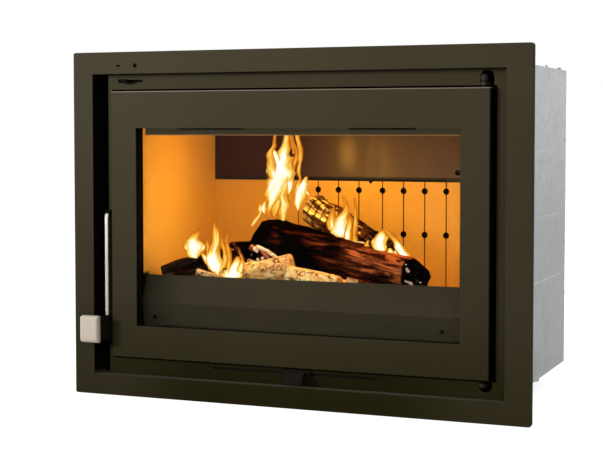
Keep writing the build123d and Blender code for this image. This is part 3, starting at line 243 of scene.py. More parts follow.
    def relief(self, height: Socket, strength: float, distance: float) -> None:
        """Gives the surface a bump of that height."""
        inputs = {"Height": height, "Strength": strength, "Distance": distance}
        self.set(Normal=self.add("ShaderNodeBump", inputs).outputs[0])


# ------------------------------------------------------------------------------ finishes
@dataclass(frozen=True)
class HeatPaint:
    """Matt sprayed high-temperature paint with a faint orange-peel grain."""

    colour: Colour
    drift: Colour
    roughness: float = 0.6
    shine: float = 0.05
    peel: float = 0.12
    shade_from: float | None = None    # depth in mm behind which shade is painted in, dark in recesses and on faces turned from the light
    # Colour of the painted shade.
    shade_tone: Colour = (0.0022, 0.0020, 0.0016)
    shade_above: float = 0.0           # height in mm below which no shade is painted
    shade_within: float = 0.0          # distance in mm from the middle beyond which none is painted either
    low: Point | None = None            # painted shade darker towards the bottom: two heights in mm, and the tone at the first
    low_sides: float = 0.0              # share of that painted shade which the far sides are spared
    lift: float = 0.0                   # light of the fire on it, as a share of its colour
    rim: tuple[float, float, Colour] | None = None  # heights in mm between which a painted highlight lies, and its colour
    highlight_from: float = -20.0             # depth in mm behind which the painted highlight is

    def dress(self, graph: Graph) -> None:
        """Builds the paint in a material's tree."""
        colour = graph.lay(self.colour, self.drift, graph.noise(4.5, 2.0), 0.35, 0.65)
        lighter = tuple(1.9 * channel for channel in self.colour)
        colour = graph.lay(colour, lighter, graph.noise(700.0, 2.0), 0.58, 0.74, 0.16)
        aside = graph.math("ABSOLUTE", graph.x)
        # Painted shade: darker towards the bottom, less so at the far sides.
        if self.low is not None:
            bottom, top, tone = self.low
            fade = graph.band(graph.z, bottom * MM, top * MM, tone)
            if self.low_sides:
                side = graph.band(aside, 0.16, 0.33, 0.0, self.low_sides)
                fade = graph.plus(fade, graph.times(side, graph.math("SUBTRACT", 1.0, fade)))
            tones = {0: fade, 1: fade, 2: graph.times(fade, fade)}
            shade = graph.add("ShaderNodeCombineXYZ", tones).outputs[0]
            colour = graph.mix(1.0, colour, shade, "MULTIPLY")
        # Painted shade in the recesses and on faces turned from the light.
        if self.shade_from is not None:
            painted_shade = graph.behind(self.shade_from, 0.4)
            if self.shade_above:
                painted_shade = graph.times(painted_shade, graph.above(self.shade_above, 0.5))
            if self.shade_within:
                inside = graph.math("LESS_THAN", aside, self.shade_within * MM)
                painted_shade = graph.times(painted_shade, inside)
            colour = graph.mix(painted_shade, colour, self.shade_tone)
        # Painted highlight along an edge.
        if self.rim is not None:
            bottom, top, bright = self.rim
            highlight_band = graph.times(graph.math("GREATER_THAN", graph.z, bottom * MM),
                                 graph.math("LESS_THAN", graph.z, top * MM))
            inner = graph.math("GREATER_THAN", graph.y, TRIM_FRONT + self.highlight_from * MM)
            colour = graph.mix(graph.times(highlight_band, inner), colour, bright)
        if self.lift:
            graph.set(Emission_Color=colour, Emission_Strength=self.lift)
        grain = graph.noise(1500.0, 2.0)
        graph.set(Base_Color=colour, Specular_IOR_Level=self.shine, Roughness=graph.band(
            grain, 0.2, 0.8, self.roughness - 0.06, self.roughness + 0.06))
        graph.relief(grain, self.peel, 0.12 * MM)


@dataclass(frozen=True)
class RolledPlate:
    """Bare rolled steel, browned and streaked by the heat of the fire, with a painted reflection
    of the flames and a painted shadow along its lower edge.
    """

    colour: Colour = (0.064, 0.044, 0.027)
    scale_tone: Colour = (0.055, 0.036, 0.024)
    streaked: Colour = (0.09, 0.062, 0.040)
    # Colour that darkens the plate towards the left.
    darkened: Colour = (0.027, 0.0035, 0.0)
    # Colour of the painted reflection of the flames.
    painted_reflection: Colour = (0.19, 0.16, 0.09)
    shadow: Colour = (0.004, 0.002, 0.001)
    spot: Point = (-46.0, 397.0, 410.0)     # middle of the painted reflection of the flames, mm
    spot_size: Pair = (4.0, 52.0)           # distances where it is full and gone, mm
    narrow: float = 1.9                     # how much narrower than tall it is

    def dress(self, graph: Graph) -> None:
        """Builds the plate in a material's tree."""
        streak = graph.noise(60.0, 5.0, 0.6, graph.stretched(graph.place, 0.25))
        colour = graph.lay(self.colour, self.scale_tone, graph.noise(7.0), 0.35, 0.7)
        colour = graph.lay(colour, self.streaked, streak, 0.5, 0.8, 0.2)
        middle = place(*self.spot)
        ends = {0: graph.stretched(graph.place, x=self.narrow),
                1: (self.narrow * middle.x, middle.y, middle.z)}
        away = graph.add("ShaderNodeVectorMath", ends, operation="DISTANCE").outputs["Value"]
        near, far = self.spot_size
        # Painted reflection of the flames: a lighter spot in the middle.
        colour = graph.lay(colour, self.painted_reflection, away, far * MM, near * MM, 0.8)
        # Darker towards the left.
        colour = graph.lay(colour, self.darkened, graph.x, -0.05, -0.17)
        colour = graph.lay(colour, self.shadow, graph.z, 0.3675, 0.3655)
        graph.set(Base_Color=colour, Metallic=0.35,
                  Roughness=graph.band(streak, 0.3, 0.7, 0.46, 0.6))
        graph.relief(streak, 0.15, 0.1 * MM)


@dataclass(frozen=True)
class Galvanised:
    """Hot-dip galvanised sheet with its zinc crystals."""

    light: Colour = (0.66, 0.67, 0.68)
    dark: Colour = (0.57, 0.58, 0.59)
    stained: Colour = (0.42, 0.41, 0.38)
    crystal: float = 130.0

    def dress(self, graph: Graph) -> None:
        """Builds the zinc in a material's tree."""
        wander = graph.wandered(graph.place, 60.0, 0.012)
        facet = graph.first(graph.cells(self.crystal, "Color", wander))
        feather = graph.noise(500.0, 4.0)
        tone = graph.plus(graph.times(facet, 0.75), graph.times(feather, 0.25))
        colour = graph.lay(graph.mix(tone, self.dark, self.light), self.stained,
                           graph.noise(9.0, 4.0), 0.52, 0.8, 0.35)
        graph.set(Base_Color=colour, Metallic=0.85,
                  Roughness=graph.band(tone, 0.1, 0.9, 0.52, 0.44))
        graph.relief(feather, 0.08, 0.1 * MM)


@dataclass(frozen=True)
class Vermiculite:
    """Pressed board of expanded mica flakes, warm and matt."""

    colour: Colour = (0.80, 0.53, 0.13)
    flake: Colour = (0.72, 0.44, 0.10)
    pale: Colour = (0.86, 0.61, 0.18)
    soot: Colour = (0.10, 0.07, 0.05)
    # Black of the painted shade.
    shade_black: Colour = (0.008, 0.004, 0.002)
    soot_top: float = 0.175
    shade_from: float | None = None    # depth in mm behind which shade is painted black, in its holes and grooves
    corner: Pair | None = None          # height and depth in mm of a corner where shade is painted black

    def dress(self, graph: Graph) -> None:
        """Builds the board in a material's tree."""
        flakes = graph.first(graph.cells(420.0, "Color"))
        colour = graph.lay(self.colour, self.flake, flakes, 0.70, 0.95, 0.5)
        colour = graph.lay(colour, self.pale, flakes, 0.25, 0.05, 0.4)
        colour = graph.lay(colour, self.flake, graph.noise(11.0), 0.35, 0.75, 0.3)
        low = graph.band(graph.z, self.soot_top, 0.10, 0.0, 0.75)
        darkened = graph.times(low, graph.band(graph.noise(30.0, 4.0), 0.3, 0.7))
        colour = graph.mix(darkened, colour, self.soot)
        # Painted shade: black behind that depth, in its holes and grooves.
        if self.shade_from is not None:
            colour = graph.mix(graph.behind(self.shade_from, 0.6), colour, self.shade_black)
        # Painted shade: a black corner, low and near the front.
        if self.corner is not None:
            height, depth = self.corner
            shaded_corner = graph.times(graph.above(height, -8.0), graph.behind(depth, -8.0))
            colour = graph.mix(shaded_corner, colour, self.shade_black)
        graph.set(Base_Color=colour, Roughness=0.93, Specular_IOR_Level=0.05)
        graph.relief(graph.noise(600.0), 0.3, 0.3 * MM)


@dataclass(frozen=True)
class CastIron:
    """Raw sand-cast iron."""

    colour: Colour = (0.035, 0.033, 0.031)
    ash: Colour = (0.16, 0.15, 0.14)

    def dress(self, graph: Graph) -> None:
        """Builds the iron in a material's tree."""
        grit = graph.noise(650.0, 5.0, 0.65)
        colour = graph.lay(self.colour, self.ash, graph.noise(40.0, 4.0), 0.48, 0.7, 0.5)
        graph.set(Base_Color=colour, Metallic=0.35,
                  Roughness=graph.band(grit, 0.3, 0.7, 0.62, 0.82))
        graph.relief(grit, 0.5, 0.4 * MM)


@dataclass(frozen=True)
class CeramicGlass:
    """Clear glass ceramic with a haze of soot along its edges."""

    tint: Colour = (0.97, 0.955, 0.93)
    haze: Colour = (0.55, 0.42, 0.28)
    half_width: float = 0.2844
    haze_width: float = 0.02

    def dress(self, graph: Graph) -> None:
        """Builds the glass in a material's tree."""
        edge = graph.band(graph.math("ABSOLUTE", graph.x), self.half_width - self.haze_width,
                          self.half_width, 0.0, 0.35)
        patch = graph.times(edge, graph.band(graph.noise(25.0), 0.3, 0.7))
        graph.set(Base_Color=graph.mix(patch, self.tint, self.haze), Transmission_Weight=1.0,
                  IOR=1.12, Roughness=graph.band(patch, 0.0, 0.4, 0.0, 0.08))


@dataclass(frozen=True)
class GlassFibre:
    """Graphite-dyed glass fibre of the sealing rope and tape."""

    colour: Colour = (0.045, 0.042, 0.040)
    worn: Colour = (0.16, 0.15, 0.14)

    def dress(self, graph: Graph) -> None:
        """Builds the fibre in a material's tree."""
        yarn = graph.noise(1300.0, 3.0, 0.7)
        colour = graph.lay(self.colour, self.worn, graph.noise(50.0), 0.5, 0.75, 0.7)
        colour = graph.lay(colour, self.worn, yarn, 0.5, 0.8, 0.5)
        graph.set(Base_Color=colour, Roughness=0.9, Sheen_Weight=0.3, Specular_IOR_Level=0.2)
        graph.relief(yarn, 0.5, 0.4 * MM)


@dataclass(frozen=True)
class BrightSteel:
    """Stainless or zinc-plated steel with a fine drawn grain."""

    colour: Colour
    dull: Colour
    roughness: float = 0.3
    metallic: float = 1.0

    def dress(self, graph: Graph) -> None:
        """Builds the metal in a material's tree."""
        drawn = graph.noise(900.0, 4.0, 0.6, graph.stretched(graph.place, 0.03))
        colour = graph.lay(self.colour, self.dull, graph.noise(45.0), 0.4, 0.75, 0.5)
        graph.set(Base_Color=colour, Metallic=self.metallic, Roughness=graph.band(
            drawn, 0.3, 0.7, self.roughness - 0.05, self.roughness + 0.09))
        graph.relief(drawn, 0.1, 0.05 * MM)


@dataclass(frozen=True)
class EmberAsh:
    """Ash over charcoal that still glows from below."""

    ash: Colour = (0.33, 0.29, 0.26)
    coal: Colour = (0.012, 0.010, 0.009)
    glow: float = 1.2

    def dress(self, graph: Graph) -> None:
        """Builds the embers in a material's tree."""
        patch = graph.noise(34.0, 4.0)
        fine = graph.noise(210.0, 4.0, 0.65)
        heat = graph.times(graph.band(patch, 0.45, 0.66), graph.band(fine, 0.36, 0.56))
        glow = graph.ramp(heat, (0.0, (0.0, 0.0, 0.0)), (0.35, (0.5, 0.03, 0.0)),
                          (0.7, (1.0, 0.16, 0.01)), (1.0, (1.0, 0.45, 0.08)))
        graph.set(Base_Color=graph.lay(self.coal, self.ash, fine, 0.42, 0.62), Roughness=0.95,
                  Emission_Color=glow, Emission_Strength=self.glow)
        graph.relief(fine, 0.6, 1.5 * MM)


@dataclass(frozen=True)
class CharredOak:
    """Oak log turning to charcoal: black crust, red-brown fibres and bare wood or bark."""

    char: Colour = (0.0005, 0.0001, 0.0001)
    brown: Colour = (0.022, 0.0035, 0.0012)
    raw: Colour = (0.13, 0.030, 0.009)
    bark: Colour = (0.22, 0.062, 0.032)
    pale: Colour = (0.60, 0.24, 0.12)
    ash: Colour = (0.90, 0.86, 0.82)
    # Painted light given off by the ash flakes, brighter than white.
    ash_painted_light: Colour = (4.2, 3.7, 3.1)
    glow: float = 0.3

    def dress(self, graph: Graph) -> None:
        """Builds the wood in a material's tree, from the log's grain, burn, crack and cut."""
        grain = graph.attribute("grain", "Vector")
        crack, cut = graph.attribute("crack"), graph.attribute("cut")
        fibre = graph.noise(330.0, 4.0, 0.62, graph.stretched(grain, 0.07))
        streak = graph.noise(120.0, 3.0, 0.55, graph.stretched(grain, 0.16))
        patch = graph.noise(48.0, 4.0, 0.6, graph.stretched(grain, 0.40))
        worn = graph.plus(graph.band(patch, 0.25, 0.75, -0.42, 0.42),
                          graph.band(streak, 0.25, 0.75, -0.45, 0.45))
        burn = graph.plus(graph.attribute("burn"), worn)
        wood = graph.lay(self.brown, self.raw, fibre, 0.48, 0.72)
        wood = graph.lay(wood, graph.lay(self.bark, self.pale, fibre, 0.36, 0.6), burn, 0.0, -0.35)
        colour = graph.lay(wood, self.char, burn, 0.22, 0.48)
        colour = graph.mix(graph.times(crack, 0.85), colour, self.char)
        colour = graph.mix(cut, colour, self.char)
        flake = graph.noise(52.0, 3.0, 0.6, graph.stretched(graph.place, 1.9, 0.7, 0.7))
        ash = graph.times(graph.band(flake, 0.655, 0.675), cut)
        colour = graph.mix(ash, colour, self.ash)
        heat = graph.times(crack, graph.band(patch, 0.55, 0.66))
        glow = graph.ramp(heat, (0.0, (0.0, 0.0, 0.0)), (0.5, (0.30, 0.020, 0.0)),
                          (1.0, (0.9, 0.20, 0.02)))
        # The ash flakes glow with painted light.
        glow = graph.mix(ash, glow, self.ash_painted_light)
        graph.set(Base_Color=colour, Roughness=0.95, Specular_IOR_Level=0.0,
                  Emission_Color=glow, Emission_Strength=self.glow)
        graph.relief(graph.plus(fibre, patch), 0.8, 1.4 * MM)


@dataclass(frozen=True)
class ScorchedBirch:
    """Pale birch, checked by the heat and scorched where the fire has reached it."""

    bark: Colour = (0.93, 0.76, 0.36)
    warm: Colour = (0.80, 0.46, 0.17)
    fissure: Colour = (0.15, 0.045, 0.015)
    scorch: Colour = (0.010, 0.005, 0.003)

    def dress(self, graph: Graph) -> None:
        """Builds the bark in a material's tree, from the log's grain and burn."""
        grain = graph.attribute("grain", "Vector")
        wander = graph.wandered(grain, 110.0, 0.010)
        patch = graph.noise(60.0, 4.0, 0.62, graph.stretched(grain, 0.8))
        check = graph.cells(105.0, "Distance", graph.stretched(wander, 0.7), "DISTANCE_TO_EDGE")
        open_check = graph.times(graph.band(check, 0.13, 0.02),
                                 graph.band(graph.noise(70.0, 2.0), 0.38, 0.62, 0.1))
        colour = graph.lay(self.bark, self.warm, patch, 0.36, 0.60)
        scar = graph.noise(85.0, 3.0, 0.6, graph.stretched(grain, 0.45))
        colour = graph.lay(colour, self.fissure, scar, 0.55, 0.68, 0.85)
        colour = graph.mix(open_check, colour, self.fissure)
        burn = graph.plus(graph.attribute("burn"), graph.band(patch, 0.2, 0.8, -0.4, 0.4))
        colour = graph.lay(colour, self.scorch, burn, 0.45, 0.62)
        graph.set(Base_Color=colour, Roughness=0.9, Specular_IOR_Level=0.05)
        graph.relief(graph.plus(graph.band(check, 0.0, 0.15), patch), 0.7, 1.2 * MM)


@dataclass(frozen=True)
class WhiteAsh:
    """Flaking white ash that has burnt through."""

    ash: Colour = (0.92, 0.88, 0.82)
    grey: Colour = (0.42, 0.34, 0.28)

    def dress(self, graph: Graph) -> None:
        """Builds the ash in a material's tree."""
        flake = graph.noise(180.0, 4.0, 0.65)
        graph.set(Base_Color=graph.lay(self.ash, self.grey, flake, 0.42, 0.62), Roughness=1.0,
                  Specular_IOR_Level=0.0)
        graph.relief(flake, 0.8, 1.0 * MM)


@dataclass(frozen=True)
class FlameGlow:
    """Burning gas: white-hot along a tongue's middle, orange and clear at its rim and tip."""

    rim: Colour = (0.80, 0.20, 0.008)
    body: Colour = (0.98, 0.38, 0.022)
    hot: Colour = (1.0, 0.56, 0.06)
    pale: Colour = (1.0, 0.85, 0.30)
    core: Colour = (1.0, 0.985, 0.90)

    def dress(self, graph: Graph) -> None:
        """Builds the flame in a material's tree, from a tongue's core, warmth and flow."""
        heat = graph.attribute("warmth")
        flow = graph.attribute("flow", "Vector")
        lick = graph.noise(150.0, 4.0, 0.6, graph.stretched(flow, 0.16))
        tear = graph.noise(60.0, 3.0, 0.55, graph.stretched(flow, 0.5))
        torn = graph.plus(graph.band(lick, 0.25, 0.75, -0.30, 0.24),
                          graph.band(tear, 0.25, 0.75, -0.22, 0.18))
        body = graph.plus(graph.attribute("core"), torn)
        alpha = graph.times(graph.band(body, 0.0, 0.45), graph.band(heat, 0.0, 0.55, 0.25))
        cooled = graph.times(graph.math("SUBTRACT", heat, 1.0), 0.95)
        burning = graph.plus(graph.times(body, 0.85), cooled)
        colour = graph.ramp(burning, (0.0, self.rim), (0.20, self.body), (0.42, self.hot),
                            (0.60, self.pale), (0.78, self.core))
        graph.set(Base_Color=(0.0, 0.0, 0.0), Roughness=1.0, Specular_IOR_Level=0.0,
                  Emission_Color=colour, Alpha=alpha,
                  Emission_Strength=graph.band(burning, -0.1, 0.7, 0.75, 1.12))


@dataclass(frozen=True)
class SunkInk:
    """Black enamel in the engraved control signs."""

    colour: Colour = (0.001, 0.0008, 0.0005)
    dust: Colour = (0.004, 0.003, 0.002)

    def dress(self, graph: Graph) -> None:
        """Builds the enamel in a material's tree."""
        pits = graph.noise(1800.0, 2.0)
        graph.set(Base_Color=graph.lay(self.colour, self.dust, pits, 0.55, 0.8, 0.4),
                  Roughness=0.9, Specular_IOR_Level=0.0)
        graph.relief(pits, 0.2, 0.05 * MM)


FRONT_COLOUR = (0.0545, 0.0448, 0.0245)
FRONT_DRIFT = (0.0500, 0.0410, 0.0222)
FINISHES = {
    Slot.FRONT_PAINT: HeatPaint(FRONT_COLOUR, FRONT_DRIFT),
    Slot.BLACK_STEEL: HeatPaint((0.0024, 0.0019, 0.0012), (0.0034, 0.0028, 0.0018), shine=0.02),
    Slot.GUARD_PAINT: HeatPaint((0.047, 0.039, 0.022), (0.042, 0.035, 0.020), peel=0.04),
    Slot.STOVE_PAINT: HeatPaint((0.030, 0.029, 0.027), (0.038, 0.036, 0.033), roughness=0.65),
    Slot.HEAT_PLATE: RolledPlate(),
    Slot.GALVANISED: Galvanised(),
    Slot.VERMICULITE: Vermiculite(),
    Slot.CAST_IRON: CastIron(),
    Slot.ZINC: BrightSteel((0.58, 0.57, 0.53), (0.45, 0.43, 0.38), 0.38),
    Slot.GLASS: CeramicGlass(),
    Slot.ROPE: GlassFibre(),
    Slot.BAR: BrightSteel((0.58, 0.545, 0.465), (0.53, 0.495, 0.43), 0.34),
    Slot.GRIP: BrightSteel((0.87, 0.75, 0.62), (0.81, 0.70, 0.575), 0.5, 0.0),
    Slot.EMBERS: EmberAsh(),
    Slot.CHARRED: CharredOak(),
    Slot.BIRCH: ScorchedBirch(),
}


HINGE_STEEL = HeatPaint((0.040, 0.039, 0.026), (0.033, 0.032, 0.021), roughness=0.5, shine=0.06)
# Radius and height of each point of a hinge pin's outline, mm.
HINGE_PINS = {
    "upper_hinge_pin": ((0.0, 501.0), (2.2, 501.0), (3.0, 501.8), (3.0, 527.6), (4.1, 527.6),
                        (4.1, 530.2), (4.6, 530.8), (5.3, 531.9), (5.8, 533.2), (6.0, 534.6),
                        (5.8, 536.0), (5.3, 537.4), (4.6, 538.5), (3.6, 539.5), (2.5, 540.2),
                        (1.3, 540.5), (0.0, 540.6)),
    "lower_hinge_pin": ((0.0, 84.0), (2.2, 84.0), (3.0, 83.2), (3.0, 55.4), (5.0, 55.4),
                        (5.0, 54.7), (4.7, 53.9), (4.1, 53.3), (3.2, 52.9), (1.7, 52.7),
                        (0.0, 52.6)),
}


class PaintShop:
    """Makes each finish once and puts it on nodes and pieces."""

    def __init__(self) -> None:
        """Starts with no material made."""
        self.made: dict[str, bpy.types.Material] = {}

    def material(self, name: str, finish: object) -> bpy.types.Material:
        """Material of that name, dressed with a finish the first time it is asked for."""
        if name not in self.made:
            self.made[name] = bpy.data.materials.new(name)
            finish.dress(Graph(self.made[name]))
        return self.made[name]

    def coat(self, obj: bpy.types.Object, name: str, finish: object) -> None:
        """Gives an object one material."""
        obj.data.materials.clear()
        obj.data.materials.append(self.material(name, finish))


# ------------------------------------------------------------------------------ mesh shapes
def put(name: str, data: bpy.types.ID) -> bpy.types.Object:
    """New object of the scene that holds some data."""
    obj = bpy.data.objects.new(name, data)
    bpy.context.scene.collection.objects.link(obj)
    return obj


def solid(name: str, mesh: Mesh) -> bpy.types.Object:
    """New object of the scene that takes over a mesh."""
    data = bpy.data.meshes.new(name)
    mesh.to_mesh(data)
    mesh.free()
    return put(name, data)


def turned_to(direction: Vector) -> Matrix:
    """Turn that takes +Z to a direction."""
    return direction.to_track_quat("Z", "Y").to_matrix().to_4x4()


def spread(low: float, high: float, inset: float, count: int = 2) -> list[float]:
    """Even places from low to high, inset at both ends."""
    return [low + inset + row * (high - low - 2 * inset) / (count - 1) for row in range(count)]


def edges_of(verts: list[Vert]) -> list[bmesh.types.BMEdge]:
    """Edges whose two ends are both among the vertices, in the same order on every run."""
    known = set(verts)
    return list(dict.fromkeys(edge for vert in verts for edge in vert.link_edges
                              if edge.verts[0] in known and edge.verts[1] in known))


def ease(mesh: Mesh, edges: list[bmesh.types.BMEdge], offset: float, segments: int = 1) -> None:
    """Bevels edges, flat with one segment and round with more."""
    bmesh.ops.bevel(mesh, geom=edges, offset=offset, segments=segments, profile=0.5,
                    affect="EDGES", material=-1)


def add_block(mesh: Mesh, low: Vector, high: Vector) -> None:
    """Adds a block between two corners."""
    size = Matrix.Diagonal((*(high - low), 1.0))
    bmesh.ops.create_cube(mesh, size=1.0, matrix=Matrix.Translation((low + high) / 2) @ size)


def add_disc(mesh: Mesh, seat: Vector, out: Vector, radius: float, height: float,
             top_radius: float, segments: int = 20, round_by: float = 0.0) -> bmesh.types.BMFace:
    """Adds a disc, hexagon or dome standing on a seat.

    Args:
        mesh: Mesh that it joins.
        seat: Middle of its underside.
        out: Direction that it stands in, of length 1.
        radius: Radius of the underside.
        height: Height above the seat.
        top_radius: Radius of the top.
        segments: Sides of the outline.
        round_by: Rounding of the top rim.

    Returns:
        Its top face.
    """
    matrix = Matrix.Translation(seat + out * height / 2) @ turned_to(out)
    verts = bmesh.ops.create_cone(mesh, cap_ends=True, segments=segments, radius1=radius,
                                  radius2=top_radius, depth=height, matrix=matrix)["verts"]
    faces = {face for vert in verts for face in vert.link_faces}
    top = max(faces, key=lambda face: face.calc_center_median().dot(out))
    if round_by:
        ease(mesh, list(top.edges), round_by, 3)
        faces = [face for face in mesh.faces if len(face.verts) >= segments]
        middle = seat + out * height
        top = min(faces, key=lambda face: (face.calc_center_median() - middle).length)
    return top


@dataclass(frozen=True)
class Fastener:
    """One kind of screw or rivet."""

    head: ScrewHead
    radius: float
    height: float

    def add(self, mesh: Mesh, seat: Vector, out: Vector) -> None:
        """Adds a head that sits on a seat and stands in a direction."""
        axis = out.normalized()
        if self.head is ScrewHead.HEX_FLANGE:
            add_disc(mesh, seat, axis, self.radius * 1.5, self.height * 0.3, self.radius * 1.4)
            add_disc(mesh, seat + axis * self.height * 0.29, axis, self.radius, self.height * 0.7,
                     self.radius * 0.96, 6, self.radius * 0.12)
            return
        top = add_disc(mesh, seat, axis, self.radius, self.height, self.radius * 0.92,
                       round_by=self.height * 0.5)
        if self.head is ScrewHead.PAN:
            bmesh.ops.inset_individual(mesh, faces=[top], thickness=self.radius * 0.22)
            socket = bmesh.ops.extrude_discrete_faces(mesh, faces=[top])["faces"][0]
            bmesh.ops.translate(mesh, verts=list(socket.verts), vec=-axis * self.height * 0.55)


def even_copy(node: str, voxel: float, rounds: int) -> Mesh:
    """Copies a node's mesh, divided evenly and with its corners eased.

    Args:
        node: Name of the node.
        voxel: Size of the new faces.
        rounds: How often the corners are smoothed.

    Returns:
        A new closed mesh in the frame's own place.
    """
    source = bmesh.new()
    source.from_mesh(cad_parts[node].data)
    bmesh.ops.remove_doubles(source, verts=source.verts, dist=0.01 * MM)
    carrier = solid("even_copy", source)
    data = carrier.data
    grid = carrier.modifiers.new("grid", "REMESH")
    grid.mode = "VOXEL"
    grid.voxel_size = voxel
    result = bmesh.new()
    result.from_object(carrier, bpy.context.evaluated_depsgraph_get())
    bpy.data.objects.remove(carrier)
    bpy.data.meshes.remove(data)
    for _ in range(rounds):
        bmesh.ops.smooth_vert(result, verts=result.verts, factor=0.5, use_axis_x=True,
                              use_axis_y=True, use_axis_z=True)
    result.normal_update()
    return result


@dataclass
class SubAssembly:
    """One group of the insert: dresses its nodes and adds its pieces."""

    shop: PaintShop

    def dress(self, slot: Slot, *nodes: str) -> None:
        """Gives nodes the finish of a slot."""
        self.dress_as(slot.value, FINISHES[slot], *nodes)

    def dress_as(self, name: str, finish: object, *nodes: str) -> None:
        """Gives nodes a finish of their own."""
        for node in nodes:
            self.shop.coat(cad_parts[node], name, finish)

    def add(self, name: str, mesh: Mesh, slot: Slot, body: Body = Body.ROOT,
            replaced: tuple[str, ...] = (), shaded: bool = True,
            finish: object | None = None) -> None:
        """Turns a finished mesh into a piece of the insert.

        Args:
            name: The piece's name.
            mesh: Its mesh, in the frame's own place.
            slot: Slot that it takes its finish from.
            body: Body that it moves with.
            replaced: Nodes that it stands for.
            shaded: Whether its faces are shaded smooth.
            finish: Finish of its own, in place of the slot's.
        """
        piece = solid(name, mesh)
        for polygon in piece.data.polygons:
            polygon.use_smooth = shaded
        self.shop.coat(piece, slot.value if finish is None else name, finish or FINISHES[slot])
        if replaced:
            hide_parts(*replaced)
        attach(piece, body.value)
        LOG.info("%s: %d faces on %s", name, len(piece.data.polygons), body.value)


# ------------------------------------------------------------------------------ front
@dataclass
class FrontTrim(SubAssembly):
    """Trim frame and the recessed fascia, with the signs over the air-wash tab."""

    sign_z: float = 562.6
    minus: Pair = (-312.6, 7.3)     # middle and length, mm
    plus: Pair = (-280.7, 7.9)
    stroke: float = 2.7
    ink: Pair = (-0.25, 0.3)        # depths between which the enamel lies, mm

    def build(self) -> None:
        """Paints the front and adds the two signs."""
        # Painted shade in the opening's recess and darker towards the bottom, with a painted
        # highlight along the top of the bottom border inside the opening.
        self.dress_as("trim_paint", HeatPaint(
            FRONT_COLOUR, FRONT_DRIFT, shade_from=1.6, shade_above=40.0, shade_within=385.0,
            low=(20.0, 190.0, 0.40), low_sides=0.75, rim=(34.0, 36.0, (0.115, 0.105, 0.075)),
            highlight_from=0.8), "trim_frame")
        # Painted shade: darker towards the bottom.
        self.dress_as("fascia_paint", HeatPaint(
            (0.048, 0.0388, 0.0195), (0.045, 0.0363, 0.0183), low=(50.0, 150.0, 0.36),
            low_sides=0.4), "front_fascia")
        mesh = bmesh.new()
        outer, inner = self.ink
        for (middle, length), upright in ((self.minus, False), (self.plus, False),
                                          (self.plus, True)):
            half_x, half_z = length / 2, self.stroke / 2
            if upright:
                half_x, half_z = half_z, half_x
            add_block(mesh, place(middle - half_x, outer, self.sign_z - half_z),
                      place(middle + half_x, inner, self.sign_z + half_z))
        self.add("control_signs", mesh, Slot.BLACK_STEEL, shaded=False, finish=SunkInk())


@dataclass
class AirControls(SubAssembly):
    """Air-wash tab and slider, primary lever and slider."""

    def build(self) -> None:
        """Paints the controls."""
        self.dress(Slot.BLACK_STEEL, "airwash_tab", "airwash_slider")
        self.dress_as("lever_paint", HeatPaint((0.016, 0.0145, 0.0095), (0.012, 0.011, 0.008)),
                      "primary_lever")
        self.dress_as("slider_paint", HeatPaint((0.013, 0.0075, 0.005), (0.009, 0.0055, 0.004)),
                      "primary_slider")


# ------------------------------------------------------------------------------ door
@dataclass
class SealRope(SubAssembly):
    """Braided rope round the back of the door."""

    corner: float = 14.0 * MM
    strands: int = 4
    sides: int = 16
    step: float = 2.2 * MM
    corner_steps: int = 10
    braid_depth: float = 0.09
    braid_length: float = 17.0 * MM

    def build(self) -> None:
        """Lays the rope along the four sides and corners, then gives it its braid."""
        low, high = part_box("door_rope")
        radius = (high.y - low.y) / 2
        left, right = low.x + radius, high.x - radius
        bottom, top = low.z + radius, high.z - radius
        depth = (low.y + high.y) / 2
        start = Vector((left + self.corner, depth, bottom))
        legs = ((right - left, Vector((1, 0, 0))), (top - bottom, Vector((0, 0, 1))),
                (right - left, Vector((-1, 0, 0))), (top - bottom, Vector((0, 0, -1))))
        mesh = bmesh.new()
        matrix = Matrix.Translation(start) @ turned_to(legs[0][1])
        ring = bmesh.ops.create_circle(mesh, segments=self.sides, matrix=matrix,
                                       radius=radius / (1 + self.braid_depth))["verts"]
        rings = [(ring, start, 0.0)]
        middle = start
        run = 0.0
        turn = Matrix.Rotation(-math.pi / 2 / self.corner_steps, 3, "Y")
        for length, direction in legs:
            straight = length - 2 * self.corner
            count = round(straight / self.step)
            step = direction * straight / count
            for _ in range(count):
                middle = middle + step
                run += straight / count
                rings.append((self.next_ring(mesh, rings[-1][0]), middle, run))
                bmesh.ops.translate(mesh, verts=rings[-1][0], vec=step)
            centre = middle + direction.cross(Vector((0, 1, 0))) * self.corner
            for _ in range(self.corner_steps):
                middle = centre + turn @ (middle - centre)
                run += self.corner * math.pi / 2 / self.corner_steps
                rings.append((self.next_ring(mesh, rings[-1][0]), middle, run))
                bmesh.ops.rotate(mesh, verts=rings[-1][0], cent=centre, matrix=turn)
        turns = round(run / self.braid_length)
        for verts, centre, distance in rings:
            wave = TURN * turns * distance / run
            for index, vert in enumerate(verts):
                around = self.strands * TURN * index / self.sides
                lift = max(math.cos(around + wave), math.cos(around - wave))
                vert.co = centre + (vert.co - centre) * (1 + self.braid_depth * lift)
        bmesh.ops.remove_doubles(mesh, verts=mesh.verts, dist=0.05 * MM)
        bmesh.ops.recalc_face_normals(mesh, faces=mesh.faces)
        self.add("door_rope_braid", mesh, Slot.ROPE, Body.DOOR, ("door_rope",))

    def next_ring(self, mesh: Mesh, ring: list[Vert]) -> list[Vert]:
        """Extrudes a ring in place and returns the new one, its vertices in the same order."""
        rims = [edge for edge in edges_of(ring) if len(edge.link_faces) < 2]
        made = bmesh.ops.extrude_edge_only(mesh, edges=rims)["geom"]
        partner = {}
        for vert in made:
            if isinstance(vert, Vert):
                for other in (edge.other_vert(vert) for edge in vert.link_edges):
                    if other in ring:
                        partner[other] = vert
        return [partner[vert] for vert in ring]


